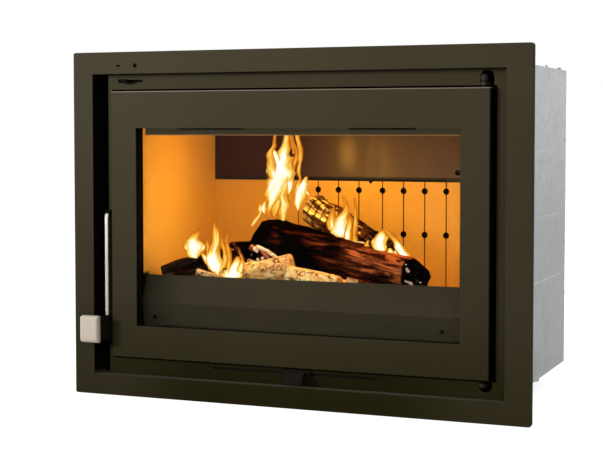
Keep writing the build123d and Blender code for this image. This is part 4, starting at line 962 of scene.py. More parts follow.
@dataclass
class Door(SubAssembly):
    """Door frame, its glass and seals, and the hinges that carry it."""

    screw: Fastener = Fastener(ScrewHead.PAN, 3.8 * MM, 2.4 * MM)
    screw_columns: Point = (150.0, 289.0, 428.0)    # heights of the screws at the sides, mm
    screw_rows: Point = (-230.0, 0.0, 230.0)        # places of those above and below, mm

    def build(self) -> None:
        """Paints the door, then makes its screws and rope."""
        # Painted shade on the faces behind the front and darker towards the bottom, with a painted
        # highlight along the top edge.
        self.dress_as("door_paint", HeatPaint(FRONT_COLOUR, FRONT_DRIFT, shade_from=10.2,
                                              low=(60.0, 190.0, 0.74),
                                              rim=(518.1, 530.0, (0.24, 0.205, 0.15))),
                      "door_frame")
        self.dress(Slot.BLACK_STEEL, "door_back_frame", "glass_retainers", "hinge_blocks",
                   "handle_bearings", "latch_cam", "latch_keeper", "thrust_washer")
        self.dress_as("hinge_steel", HINGE_STEEL, "hinge_lugs")
        self.dress(Slot.GLASS, "door_glass")
        self.dress(Slot.ROPE, "glass_tape")
        self.add_screws()
        self.add_pins()
        SealRope(self.shop).build()

    def add_screws(self) -> None:
        """Screws the glass retainers down, where the plain heads are."""
        low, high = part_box("retainer_screws")
        seat = low.y - 0.02 * MM
        inset = self.screw.radius
        spots = [(x, z * MM) for x in spread(low.x, high.x, inset) for z in self.screw_columns]
        spots += [(x * MM, z) for x in self.screw_rows for z in spread(low.z, high.z, inset)]
        mesh = bmesh.new()
        for x, z in spots:
            self.screw.add(mesh, Vector((x, seat, z)), Vector((0, 1, 0)))
        self.add("retainer_pan_screws", mesh, Slot.ZINC, Body.DOOR, ("retainer_screws",))

    def add_pins(self) -> None:
        """Turns the two hinge pins: a ball head on a neck above, a low button below."""
        for node, profile in HINGE_PINS.items():
            middle = sum(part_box(node), Vector()) / 2
            mesh = bmesh.new()
            verts = [mesh.verts.new((middle.x + radius * MM, middle.y, z * MM))
                     for radius, z in profile]
            edges = [mesh.edges.new(pair) for pair in zip(verts, verts[1:])]
            bmesh.ops.spin(mesh, geom=verts + edges, cent=middle, axis=(0, 0, 1), dvec=(0, 0, 0),
                           angle=TURN, steps=32, use_merge=True, use_duplicate=False)
            bmesh.ops.remove_doubles(mesh, verts=mesh.verts, dist=0.01 * MM)
            bmesh.ops.recalc_face_normals(mesh, faces=mesh.faces)
            self.add(node + "_turned", mesh, Slot.BLACK_STEEL, replaced=(node,),
                     finish=HINGE_STEEL)


@dataclass
class Handle(SubAssembly):
    """Turning handle beside the door."""

    def build(self) -> None:
        """Finishes the bar, the grip and the arm between them."""
        self.dress(Slot.BAR, "handle_bar")
        self.dress(Slot.GRIP, "handle_grip")
        self.dress_as("arm_paint", HeatPaint((0.020, 0.015, 0.008), (0.016, 0.012, 0.007)),
                      "handle_arm")


# ------------------------------------------------------------------------------ firebox
@dataclass
class Firebox(SubAssembly):
    """Welded firebox, its lining and the plates inside it."""

    guard_screw: Fastener = Fastener(ScrewHead.PAN, 3.4 * MM, 1.6 * MM)
    guard_screw_x: Pair = (-266.6, 246.8)
    guard_screw_z: float = 133.2
    guard_depth: float = 41.2
    guard_slope: float = -0.18      # how the guard's lower face leans
    bolt: Fastener = Fastener(ScrewHead.HEX_FLANGE, 3.6 * MM, 4.0 * MM)
    bolt_x: float = 169.5
    bolt_z: float = 376.0

    def build(self) -> None:
        """Finishes the firebox and adds the bolts of its plates."""
        self.dress(Slot.BLACK_STEEL, "firebox_face")
        self.dress(Slot.STOVE_PAINT, "firebox_shell", "smoke_deflector", "ash_box")
        self.dress(Slot.VERMICULITE, "side_brick_right", "floor_bricks_side", "floor_bricks_end",
                   "baffle_slabs")
        # Painted shade: a black corner on the left brick, and black holes and grooves in the back
        # bricks.
        self.dress_as("vermiculite_left", Vermiculite(corner=(206.5, 128.0)), "side_brick_left")
        self.dress_as("vermiculite_back", Vermiculite(shade_from=401.8), "back_brick_left",
                      "back_brick_right")
        self.dress(Slot.GUARD_PAINT, "log_guard")
        # Painted shade in its slots, a painted highlight of firelight along its lower edge, and a
        # painted glow standing in for the fire's light on it.
        self.dress_as("strip_paint", HeatPaint((0.028, 0.023, 0.0118), (0.026, 0.0215, 0.011),
                                               shine=0.0, shade_from=37.8, lift=1.15,
                                               rim=(440.0, 446.2, (0.16, 0.085, 0.03))),
                      "airwash_deflector")
        self.dress(Slot.HEAT_PLATE, "upper_back_plate")
        self.dress(Slot.CAST_IRON, "grate")
        self.dress(Slot.GALVANISED, "ash_pan")
        self.add_guard_screws()
        self.add_plate_bolts()

    def add_guard_screws(self) -> None:
        """Two small screws in the lower face of the log guard."""
        mesh = bmesh.new()
        for x in self.guard_screw_x:
            self.guard_screw.add(mesh, place(x, self.guard_depth, self.guard_screw_z),
                                 Vector((0, -1, self.guard_slope)))
        self.add("guard_screws", mesh, Slot.BLACK_STEEL)

    def add_plate_bolts(self) -> None:
        """Two bolts that hold the plate above the back panels."""
        mesh = bmesh.new()
        plate_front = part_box("upper_back_plate")[0].y
        for side in (-1, 1):
            seat = Vector((side * self.bolt_x * MM, plate_front + 0.1 * MM, self.bolt_z * MM))
            self.bolt.add(mesh, seat, Vector((0, -1, 0)))
        self.add("plate_bolts", mesh, Slot.BLACK_STEEL)


@dataclass
class Casing(SubAssembly):
    """Galvanised convection casing, its spigots, the flue collar and the feet."""

    screw: Fastener = Fastener(ScrewHead.HEX_FLANGE, 3.6 * MM, 4.2 * MM)
    rivet: Fastener = Fastener(ScrewHead.RIVET, 3.0 * MM, 1.4 * MM)
    edge_inset: float = 5.0 * MM
    back_row: tuple[float, int] = (30.0 * MM, 6)    # inset and number of screws along one edge
    top_row: tuple[float, int] = (40.0 * MM, 4)
    flange: float = 1.5 * MM
    foot_inset: float = 20.0 * MM
    rod: float = 4.9 * MM                           # radius under the thread
    thread_z: Pair = (7.0 * MM, 24.0 * MM)
    tooth: float = 0.55 * MM
    pitch: float = 1.5 * MM
    turn_steps: int = 16

    def build(self) -> None:
        """Finishes the sheets, then fastens them."""
        self.dress(Slot.GALVANISED, "casing_left", "casing_right", "casing_back", "casing_top",
                   "casing_base", "hot_air_spigots", "air_intake_spigot", "air_duct")
        self.dress(Slot.STOVE_PAINT, "flue_collar")
        self.dress(Slot.ZINC, "levelling_feet", "foot_nuts")
        self.add_screws()
        self.add_rivets()
        self.add_threads()

    def add_screws(self) -> None:
        """Self-tapping screws along the edges of the back and the top."""
        mesh = bmesh.new()
        low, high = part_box("casing_back")
        for x in spread(low.x, high.x, self.edge_inset):
            for z in spread(low.z, high.z, *self.back_row):
                self.screw.add(mesh, Vector((x, high.y, z)), Vector((0, 1, 0)))
        low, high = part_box("casing_top")
        for x in spread(low.x, high.x, self.edge_inset):
            for y in spread(low.y, high.y, *self.top_row):
                self.screw.add(mesh, Vector((x, y, high.z)), Vector((0, 0, 1)))
        self.add("casing_screws", mesh, Slot.ZINC)

    def add_rivets(self) -> None:
        """Rivets round the flanges of the spigots."""
        mesh = bmesh.new()
        low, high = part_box("hot_air_spigots")
        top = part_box("casing_top")[1].z + self.flange
        radius = (high.y - low.y) / 2
        for x in spread(low.x, high.x, radius):
            self.rivet_ring(mesh, Vector((x, (low.y + high.y) / 2, top)), radius - 5.0 * MM,
                            Vector((0, 0, 1)))
        low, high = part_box("air_intake_spigot")
        middle = (low + high) / 2
        middle.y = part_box("casing_back")[1].y + self.flange
        self.rivet_ring(mesh, middle, (high.x - low.x) / 2 - 4.5 * MM, Vector((0, 1, 0)))
        self.add("flange_rivets", mesh, Slot.ZINC)

    def rivet_ring(self, mesh: Mesh, middle: Vector, radius: float, out: Vector) -> None:
        """Adds eight rivets on a circle."""
        turn = turned_to(out)
        for index in range(8):
            angle = TURN * (index + 0.5) / 8
            spoke = Vector((math.cos(angle) * radius, math.sin(angle) * radius, 0))
            self.rivet.add(mesh, middle + turn @ spoke, out)

    def add_threads(self) -> None:
        """Winds a thread on the rod of each levelling foot."""
        mesh = bmesh.new()
        low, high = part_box("levelling_feet")
        bottom, top = self.thread_z
        turns = int((top - bottom) / self.pitch)
        outline = ((0, 0, 0), (self.tooth, 0, self.pitch * 0.45), (0, 0, self.pitch * 0.9))
        for x in spread(low.x, high.x, self.foot_inset):
            for y in spread(low.y, high.y, self.foot_inset):
                base = Vector((x + self.rod, y, bottom))
                tooth = [mesh.verts.new(base + Vector(corner)) for corner in outline]
                rim = [mesh.edges.new((tooth[i], tooth[i - 1])) for i in range(3)]
                first = mesh.faces.new(tooth)
                wound = bmesh.ops.spin(mesh, geom=[*tooth, *rim], cent=Vector((x, y, 0)),
                                       axis=Vector((0, 0, 1)), angle=TURN * turns,
                                       dvec=Vector((0, 0, self.pitch / self.turn_steps)),
                                       steps=self.turn_steps * turns, use_duplicate=False)
                mesh.faces.new([v for v in wound["geom_last"] if isinstance(v, Vert)])
                first.normal_update()
        bmesh.ops.recalc_face_normals(mesh, faces=mesh.faces)
        self.add("foot_threads", mesh, Slot.ZINC)


# ------------------------------------------------------------------------------ fire
@dataclass(frozen=True)
class LogLook:
    """How one log is worked up from its plain solid."""

    node: str
    slot: Slot
    furrow: float           # depth of the furrows, mm
    burn: Pair              # how burnt it is at its left and right end
    seed: float
    voxel: float = 2.4      # mm
    nudge: tuple[Point, Point] = ((0, 0, 0), (0, 0, 0))     # of each end, mm
    crown: float = 0.0      # how far its left end's top rises, mm
    rings: float = 0.0      # spacing of the scorched rings round it, mm
    slant: Pair = (0.0, 0.0)    # how far the left end's top and right end's back reach out, mm
    finish: object | None = None


LOG_LOOKS = (
    LogLook("log_large", Slot.CHARRED, 2.2, (1.05, -0.38), 1.0, crown=10.0, slant=(26.0, 14.0),
            finish=CharredOak(bark=(0.15, 0.030, 0.007), pale=(0.40, 0.115, 0.030))),
    LogLook("log_rear", Slot.CHARRED, 2.6, (-0.30, 0.55), 2.0, nudge=((5, 0, 5), (0, 0, 0)),
            rings=19.0, finish=CharredOak(brown=(0.06, 0.02, 0.01), raw=(0.22, 0.11, 0.06),
                                          bark=(0.22, 0.10, 0.025), pale=(1.0, 0.84, 0.38))),
    LogLook("log_left", Slot.CHARRED, 2.4, (0.02, 0.45), 3.0,
            finish=CharredOak(brown=(0.010, 0.005, 0.002), raw=(0.075, 0.045, 0.026),
                              bark=(0.006, 0.003, 0.001), pale=(0.20, 0.12, 0.06))),
    LogLook("log_left_rear", Slot.CHARRED, 1.5, (0.8, 0.6), 4.0),
    LogLook("log_birch_left", Slot.BIRCH, 1.4, (0.9, -0.2), 5.0, nudge=((0, 0, 0), (0, 0, 5))),
    LogLook("log_birch_right", Slot.BIRCH, 1.4, (0.1, 0.2), 6.0, nudge=((8, 0, 9), (-32, 0, 8))),
    LogLook("log_cross_left", Slot.CHARRED, 2.0, (0.8, 0.8), 7.0, 3.5),
    LogLook("log_cross_right", Slot.CHARRED, 2.0, (0.8, 0.8), 8.0, 3.5),
)


@dataclass(frozen=True)
class Splint:
    """A split stick, chunk or flake lying in the fire: from one end to the other, in mm."""

    start: Point
    end: Point
    half: float             # half its thickness, mm
    burn: Pair = (0.0, 0.2)
    sides: int = 5


SPLINTS = {
    "char_blocks": (Slot.CHARRED, None, (
        Splint((-188, 184, 235), (-141, 186, 244), 19.0, (0.15, 0.95), 4),
        Splint((-142, 172, 234), (-122, 176, 226), 9.0, (0.5, 0.6), 4),
        Splint((-118, 166, 232), (-101, 168, 217), 8.0, (0.4, 0.6)),
    )),
    "split_sticks": (Slot.CHARRED, None, (
        Splint((-141, 164, 249), (-131, 164, 241), 6.0, (-0.4, -0.3)),
        Splint((-117, 156, 246), (-95, 156, 220), 4.5, (-0.5, -0.4)),
        Splint((-156, 126, 258), (-138, 126, 218), 2.0, (-0.1, -0.2)),
        Splint((-147, 124, 251), (-129, 124, 219), 1.8, (-0.3, 0.0)),
        Splint((-162, 128, 245), (-150, 128, 223), 1.6, (0.1, 0.0)),
    )),
    "ash_flakes": (Slot.EMBERS, WhiteAsh(), (
        Splint((-125, 154, 250), (-104, 154, 243), 3.2),
        Splint((-106, 154, 244), (-83, 154, 229), 3.6),
        Splint((-131, 156, 248), (-123, 156, 240), 3.4),
        Splint((-114, 154, 232), (-110, 154, 220), 3.0),
        Splint((-136, 152, 224), (-122, 152, 221), 3.0),
        Splint((-124, 154, 229), (-119, 154, 224), 2.6),
        Splint((156, 118, 229), (167, 118, 219), 3.0),
        Splint((150, 118, 207), (166, 118, 202), 1.9),
        Splint((168, 118, 202), (173, 118, 198), 3.0),
    )),
    "birch_chips": (Slot.BIRCH, None, (
        Splint((76, 68, 205), (94, 68, 203), 6.5, (0.0, 0.1), 6),
        Splint((-207, 84, 210), (-155, 84, 198), 5.5, (-0.2, 0.2), 6),
    )),
}

# Tongues of flame: each one's depth in mm, then its way up as (x, z, half width, heat).
FLAMES = {
    "flame_tall": (
        (236, (-138, 302, 2.7, 0.5), (-134, 317, 7.4, 0.85), (-129, 332, 12.7, 0.95),
         (-123, 346, 18.5, 1.06), (-116, 363, 25.1, 1.08), (-113, 381, 26.3, 1.08),
         (-112, 397, 22.4, 1.04), (-108, 412, 14.5, 0.9), (-103, 426, 9.0, 0.75),
         (-103, 442, 6.9, 0.6), (-103, 460, 5.3, 0.4)),
        (231, (-121, 363, 9.2, 0.85), (-126, 383, 11.9, 0.8), (-129, 401, 10.5, 0.65),
         (-131, 413, 6.3, 0.6), (-125, 426, 4.2, 0.5), (-124, 440, 3.9, 0.4),
         (-123, 458, 2.7, 0.3)),
        (233, (-112, 388, 7.9, 0.9), (-118, 403, 8.4, 0.85), (-123, 414, 5.8, 0.7),
         (-128, 420, 2.1, 0.5)),
        (243, (-113, 290, 4.2, 0.8), (-111, 305, 8.0, 0.95), (-109, 321, 9.0, 0.85),
         (-111, 334, 11.1, 0.75), (-108, 348, 14.2, 0.8), (-102, 363, 14.5, 0.85),
         (-99, 379, 11.0, 0.8), (-97, 394, 7.4, 0.6), (-93, 406, 4.2, 0.5)),
        (247, (-132, 299, 5.3, 0.45), (-127, 315, 10.6, 0.55), (-120, 332, 13.2, 0.6),
         (-114, 348, 10.6, 0.5)),
        (240, (-98, 339, 2.7, 0.7), (-95, 352, 6.0, 0.9), (-96, 366, 6.8, 0.9)),
        (249, (-80, 365, 2.6, 0.55), (-83, 381, 4.7, 0.65), (-81, 402, 5.2, 0.65),
         (-82, 421, 5.3, 0.6), (-86, 440, 4.8, 0.5), (-87, 458, 3.9, 0.4)),
        (251, (-95, 375, 3.2, 0.4), (-93, 390, 4.7, 0.45), (-89, 404, 5.2, 0.45),
         (-89, 419, 4.2, 0.4), (-96, 433, 4.2, 0.4), (-101, 450, 3.7, 0.3)),
        (253, (-95, 411, 3.4, 0.4), (-98, 424, 4.2, 0.45), (-100, 440, 4.0, 0.4),
         (-100, 458, 2.6, 0.3)),
        (238, (-80, 310, 2.1, 0.7), (-79, 322, 7.3, 0.95), (-75, 336, 11.5, 1.08),
         (-72, 349, 12.0, 1.08), (-68, 360, 8.3, 0.9), (-64, 371, 2.7, 0.5)),
        (240, (-84, 320, 3.2, 0.5), (-84, 336, 5.3, 0.65), (-82, 352, 6.5, 0.65),
         (-77, 367, 2.7, 0.45)),
        (236, (-67, 346, 3.9, 0.7), (-61, 342, 5.2, 0.75), (-57, 335, 1.8, 0.4)),
        (238, (-145, 303, 2.1, 0.7), (-147, 311, 6.0, 0.95), (-146, 319, 4.6, 0.8),
         (-144, 328, 1.9, 0.4)),
        (239, (-156, 303, 1.9, 0.6), (-155, 309, 4.4, 0.9), (-154, 317, 2.9, 0.7),
         (-152, 324, 1.4, 0.4)),
        (236, (-170, 280, 1.9, 0.8), (-164, 288, 3.7, 0.9), (-156, 299, 4.0, 0.85),
         (-152, 307, 2.4, 0.6)),
    ),
    "flame_left": (
        (150, (-242, 221, 2.8, 0.85), (-245, 230, 12.3, 1.05), (-244, 243, 19.0, 1.12),
         (-245, 253, 16.2, 1.05), (-246, 260, 11.9, 0.85), (-240, 270, 9.5, 0.55),
         (-232, 279, 3.9, 0.3)),
        (152, (-254, 237, 6.5, 0.85), (-260, 243, 7.6, 0.85), (-265, 250, 2.8, 0.5)),
        (153, (-238, 237, 8.8, 0.9), (-230, 243, 7.5, 0.85), (-225, 249, 2.2, 0.5)),
        (148, (-255, 250, 5.3, 0.85), (-259, 256, 2.2, 0.5)),
        (78, (-164, 206, 4.1, 0.6), (-166, 215, 12.3, 0.95), (-168, 226, 18.2, 1.12),
         (-171, 238, 16.1, 1.0), (-170, 250, 11.8, 0.74), (-167, 262, 8.4, 0.7),
         (-167, 276, 7.2, 0.62), (-169, 290, 5.3, 0.48), (-171, 305, 2.6, 0.25)),
        (76, (-178, 223, 8.8, 0.85), (-186, 234, 7.2, 0.75), (-193, 243, 2.6, 0.45)),
        (80, (-158, 218, 8.3, 0.85), (-151, 232, 7.5, 0.72), (-152, 247, 6.0, 0.6),
         (-157, 264, 4.9, 0.45), (-156, 283, 3.1, 0.25)),
        (82, (-185, 236, 4.6, 0.6), (-183, 251, 4.6, 0.5), (-186, 265, 3.1, 0.3)),
        (140, (-177, 191, 4.2, 0.6), (-178, 210, 4.4, 0.55), (-175, 224, 4.1, 0.5),
         (-171, 240, 4.3, 0.5), (-176, 254, 3.3, 0.38), (-172, 270, 2.7, 0.25)),
        (84, (-147, 216, 4.2, 0.6), (-144, 232, 4.9, 0.55), (-145, 247, 4.5, 0.5),
         (-150, 263, 3.4, 0.38), (-146, 278, 2.5, 0.25)),
        (84, (-138, 196, 12.2, 0.9), (-137, 206, 16.9, 1.12), (-136, 217, 14.2, 1.05),
         (-132, 227, 9.4, 0.82), (-128, 238, 3.5, 0.45)),
        (81, (-124, 212, 7.1, 0.8), (-120, 225, 5.6, 0.7), (-118, 236, 2.4, 0.4)),
        (131, (-131, 218, 2.5, 0.6), (-138, 226, 3.3, 0.6), (-144, 234, 2.7, 0.5),
         (-150, 244, 2.1, 0.35)),
    ),
    "flame_rear": (
        (203, (15, 264, 6.3, 0.7), (14, 274, 16.6, 1.12), (13, 285, 17.6, 1.06),
         (16, 297, 13.6, 0.9), (22, 310, 7.6, 0.8), (24, 324, 4.5, 0.6), (19, 338, 2.6, 0.3)),
        (207, (0, 279, 11.1, 0.85), (-3, 293, 11.1, 0.72), (-2, 306, 7.6, 0.55),
         (0, 318, 3.0, 0.3)),
        (198, (29, 260, 7.5, 0.8), (30, 274, 8.5, 0.7), (34, 289, 6.5, 0.5), (32, 307, 4.0, 0.35)),
        (196, (43, 258, 7.5, 0.7), (42, 276, 5.0, 0.6), (45, 298, 4.2, 0.6), (44, 318, 3.2, 0.45),
         (43, 337, 2.0, 0.25)),
        (192, (39, 259, 12.5, 0.75), (47, 261, 9.9, 0.8), (57, 260, 6.0, 0.7),
         (61, 258, 2.5, 0.5)),
    ),
    "flame_right": (
        (150, (108, 244, 6.3, 0.9), (106, 255, 13.5, 1.1), (104, 265, 14.5, 1.08),
         (108, 276, 10.1, 0.92), (110, 285, 2.9, 0.5)),
        (152, (96, 256, 5.8, 0.8), (93, 265, 5.3, 0.75), (96, 272, 2.4, 0.5)),
        (142, (160, 234, 2.8, 0.7), (154, 240, 9.4, 1.08), (146, 252, 10.5, 0.95),
         (139, 263, 9.0, 0.8), (131, 274, 6.7, 0.6), (121, 284, 4.3, 0.5), (114, 288, 1.9, 0.35)),
        (146, (136, 263, 3.3, 0.6), (132, 275, 3.3, 0.5), (127, 282, 1.9, 0.35)),
        (145, (130, 239, 7.2, 0.8), (127, 247, 6.7, 0.9), (124, 255, 3.3, 0.6)),
        (144, (140, 237, 6.2, 0.85), (136, 245, 4.2, 0.8), (134, 252, 1.9, 0.5)),
        (160, (79, 250, 6.3, 0.8), (77, 258, 5.8, 0.75), (80, 266, 2.5, 0.45)),
    ),
}


def scaled(vector: Vector, across: float, along: float) -> Vector:
    """Place in a log, scaled across and along it."""
    return Vector((vector.x * across, vector.y * across, vector.z * along))


@dataclass
class FireBed(SubAssembly):
    """Logs, embers and flames."""

    smoothing: int = 3
    ember_voxel: float = 5.0 * MM
    ember_lump: float = 7.0 * MM
    coal_count: int = 240
    coal_size: Pair = (7.0 * MM, 17.0 * MM)
    coal_reach: Pair = (0.20, 0.10)     # half the length and width of the strewn heap
    coal_seed: int = 41
    flame_steps: int = 60
    flame_sides: int = 12
    flame_sway: float = 5.0             # how far a tongue wavers to the front and back, mm
    flame_lap: float = 0.45             # how much its width wavers, as a share
    flame_depth: float = 0.35           # its depth as a share of its width

    def build(self) -> None:
        """Works up the logs, heaps the embers and lights the fire."""
        for look in LOG_LOOKS:
            mesh = even_copy(look.node, look.voxel * MM, self.smoothing)
            self.work_up(mesh, look)
            self.add(look.node + "_bark", mesh, look.slot, replaced=(look.node,),
                     finish=look.finish)
        for name, (slot, finish, splints) in SPLINTS.items():
            self.add_splints(name, slot, finish, splints)
        self.add_embers()
        self.add_coals()
        for name, tongues in FLAMES.items():
            self.add_flame(name, tongues)

    def work_up(self, mesh: Mesh, look: LogLook) -> None:
        """Gives one log its furrows and checks, and notes its grain and burning.

        Args:
            mesh: The log's evenly divided mesh.
            look: How the log is worked up.
        """
        points = np.array([vert.co for vert in mesh.verts])
        centre = points.mean(axis=0)
        axis = np.linalg.eigh(np.cov((points - centre).T))[1][:, 2]
        if axis[0] < 0:
            axis = -axis
        along = (points - centre) @ axis
        start, end = along.min(), along.max()
        middle, axis = Vector(centre), Vector(axis)
        side = axis.cross(Vector((0, 0, 1))).normalized()
        up = side.cross(axis)
        left, right = (Vector(shift) * MM for shift in look.nudge)
        radius = max(abs((vert.co - middle).dot(up)) for vert in mesh.verts) or 1.0
        top_slant, back_slant = (slope * MM for slope in look.slant)
        layers = mesh.verts.layers
        grain = layers.float_vector.new("grain")
        burn, crack, cut = (layers.float.new(name) for name in ("burn", "crack", "cut"))
        moves = []
        for vert in mesh.verts:
            offset = vert.co - middle
            local = Vector((offset.dot(side), offset.dot(up), offset.dot(axis)))
            share = min(max((local.z - start) / (end - start), 0.0), 1.0)
            height, back = local.y / radius, local.x / radius
            # The surface: long ridges, lumps, and the checks between the cells of the charcoal.
            seeded = local + Vector((look.seed, 0, 0))
            ridge = 1 - abs(noise.noise(scaled(seeded, 130, 14)))
            lump = noise.noise(seeded * 22)
            near, second = noise.voronoi(scaled(seeded, 95, 40))[0][:2]
            check = 1 - smooth(0.0, 0.12, second - near)
            check *= smooth(0.1, 0.5, noise.noise(seeded * 30))
            if look.rings:
                wave = (local.z + 4.0 * MM * noise.noise(seeded * 45)) / (look.rings * MM)
                check = max(check, smooth(0.62, 0.88, math.cos(TURN * wave)))
            on_end = abs(vert.normal.dot(axis))
            depth = (ridge - 0.75) * look.furrow * 1.6 + lump * look.furrow * 1.4
            depth -= check * look.furrow * 0.5
            move = vert.normal * depth * (1 - 0.65 * on_end) * MM
            # The outline: shifted ends, a crown on the left one, and slanting cuts.
            move += left * (1 - share) + right * share
            move.z += look.crown * MM * (1 - share) ** 1.5 * smooth(-0.02, 0.03, local.y)
            top_cut = smooth(-0.6, 0.8, height) * smooth(0.25, 0.0, share)
            back_cut = smooth(0.1, -0.9, back) * smooth(0.86, 1.0, share)
            move += axis * (top_slant * top_cut + back_slant * back_cut)
            move.z -= 1.6 * back_slant * back_cut * smooth(-0.2, 0.6, height)
            moves.append((vert, move))
            vert[grain] = seeded
            # Darker towards the underside, added to how burnt it is.
            below = 0.30 * smooth(0.1, -0.9, height)
            vert[burn] = look.burn[0] + (look.burn[1] - look.burn[0]) * share + below
            vert[crack] = check
            vert[cut] = smooth(0.5, 0.8, on_end)
        for vert, move in moves:
            vert.co += move

    def add_splints(self, name: str, slot: Slot, finish: object | None,
                    splints: tuple[Splint, ...]) -> None:
        """Joins split sticks, chunks or flakes into one piece.

        Args:
            name: The piece's name.
            slot: Slot that it takes its finish from.
            finish: Finish of its own, or None for the slot's.
            splints: Its sticks, chunks or flakes.
        """
        mesh = bmesh.new()
        for index, splint in enumerate(splints):
            start, end = place(*splint.start), place(*splint.end)
            part = bmesh.new()
            matrix = Matrix.Translation((start + end) / 2) @ turned_to(end - start)
            bmesh.ops.create_cone(part, cap_ends=True, segments=splint.sides,
                                  radius1=splint.half * 1.1 * MM, radius2=splint.half * 0.85 * MM,
                                  depth=(end - start).length, matrix=matrix)
            ease(part, list(part.edges), splint.half * 0.16 * MM)
            bmesh.ops.triangulate(part, faces=part.faces)
            bmesh.ops.subdivide_edges(part, edges=part.edges, cuts=7, use_grid_fill=True)
            part.normal_update()
            self.work_up(part, LogLook(name, slot, min(1.8, splint.half * 0.25), splint.burn,
                                       20.0 + index))
            data = bpy.data.meshes.new("splint")
            part.to_mesh(data)
            part.free()
            mesh.from_mesh(data)
            bpy.data.meshes.remove(data)
        self.add(name, mesh, slot, finish=finish)

    def add_embers(self) -> None:
        """Breaks the plain bed up into a lumpy heap."""
        mesh = even_copy("ember_bed", self.ember_voxel, 4)
        for vert in mesh.verts:
            vert.co += vert.normal * noise.fractal(vert.co * 26, 0.9, 2.1, 5) * self.ember_lump
        self.add("ember_heap", mesh, Slot.EMBERS, replaced=("ember_bed",))

    def add_coals(self) -> None:
        """Strews broken charcoal over the heap, lower towards its edge."""
        dice = random.Random(self.coal_seed)
        noise.seed_set(self.coal_seed)      # else noise_vector takes its offsets from the clock
        low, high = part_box("ember_bed")
        mesh = bmesh.new()
        for _ in range(self.coal_count):
            away = math.sqrt(dice.random())
            angle = dice.uniform(0, TURN)
            x = (low.x + high.x) / 2 + math.cos(angle) * away * self.coal_reach[0]
            y = (low.y + high.y) / 2 + math.sin(angle) * away * self.coal_reach[1]
            z = high.z + (2.0 * MM - max(away - 0.72, 0.0) * 0.12)
            size = dice.uniform(*self.coal_size)
            spin = Matrix.Rotation(dice.uniform(0, 6.3), 4,
                                   Vector((dice.random(), dice.random(), 1)))
            shape = Matrix.Diagonal((size, size * dice.uniform(0.6, 0.9),
                                     size * dice.uniform(0.4, 0.7), 1))
            matrix = Matrix.Translation((x, y, z)) @ spin @ shape
            verts = bmesh.ops.create_cube(mesh, size=1.0, matrix=matrix)["verts"]
            ease(mesh, edges_of(verts), size * 0.14)
        for vert in mesh.verts:
            vert.co += noise.noise_vector(vert.co * 160) * 1.3 * MM
        self.add("charcoal", mesh, Slot.EMBERS, shaded=False)

    def add_flame(self, name: str, tongues: tuple[tuple, ...]) -> None:
        """Joins tongues of flame into one piece.

        Args:
            name: The piece's name.
            tongues: Its tongues, as in FLAMES.
        """
        mesh = bmesh.new()
        core, glow = (mesh.verts.layers.float.new(layer) for layer in ("core", "warmth"))
        flow = mesh.verts.layers.float_vector.new("flow")
        for index, (depth, *way) in enumerate(tongues):
            rings = []
            run = 0.0
            before = way[0][:2]
            for station in range(self.flame_steps + 1):
                x, z, half, warmth = self.along_way(way, station / self.flame_steps)
                run += math.hypot(x - before[0], z - before[1])
                before = (x, z)
                drift = noise.noise(Vector((z * 0.03, index * 3.7, 5.0))) * self.flame_sway
                ring = []
                for side in range(self.flame_sides):
                    angle = TURN * side / self.flame_sides
                    across, through = math.cos(angle), math.sin(angle)
                    lap = noise.noise(Vector((run * 0.07, index * 5.1, across * 0.8)))
                    wide = half * (1 + self.flame_lap * lap) * across
                    deep = half * self.flame_depth * through
                    vert = mesh.verts.new(place(x + wide, depth + drift + deep, z))
                    vert[core] = 1 - abs(across) ** 2.2
                    vert[glow] = warmth
                    vert[flow] = Vector((wide, index * 40.0, run)) * MM
                    ring.append(vert)
                rings.append(ring)
            for low_ring, high_ring in zip(rings, rings[1:]):
                for side in range(self.flame_sides):
                    after = (side + 1) % self.flame_sides
                    mesh.faces.new((low_ring[side], low_ring[after], high_ring[after],
                                    high_ring[side]))
            mesh.faces.new(reversed(rings[0]))
            mesh.faces.new(rings[-1])
        bmesh.ops.recalc_face_normals(mesh, faces=mesh.faces)
        self.add(name, mesh, Slot.EMBERS, finish=FlameGlow())

    @staticmethod
    def along_way(way: list[tuple[float, ...]], share: float) -> list[float]:
        """Values at a share of a way, on a smooth curve through its stops."""
        spot = share * (len(way) - 1)
        index = min(int(spot), len(way) - 2)
        t = spot - index
        stops = [way[max(index - 1, 0)], way[index], way[index + 1],
                 way[min(index + 2, len(way) - 1)]]
        return [0.5 * (2 * b + (c - a) * t + (2 * a - 5 * b + 4 * c - d) * t ** 2
                       + (3 * b - a - 3 * c + d) * t ** 3) for a, b, c, d in zip(*stops)]


# ------------------------------------------------------------------------------ studio
class LampKind(Enum):
    """Kinds of lamp."""

    SOFT_BOX = "AREA"
    SPOT = "SPOT"
    FIRE = "POINT"


@dataclass(frozen=True)
class Lamp:
    """One lamp: a soft box, a spotlight with a wide soft rim, or light of the fire."""

    name: str
    kind: LampKind
    stand: Vector
    power: float
    target: Point | None = None     # what it looks at
    colour: Colour = (1.0, 0.52, 0.05)
    size: Pair = (0.0, 0.0)         # sides of a soft box
    radius: float = 40.0 * MM
    beam: float = 50.0              # degrees across a spotlight


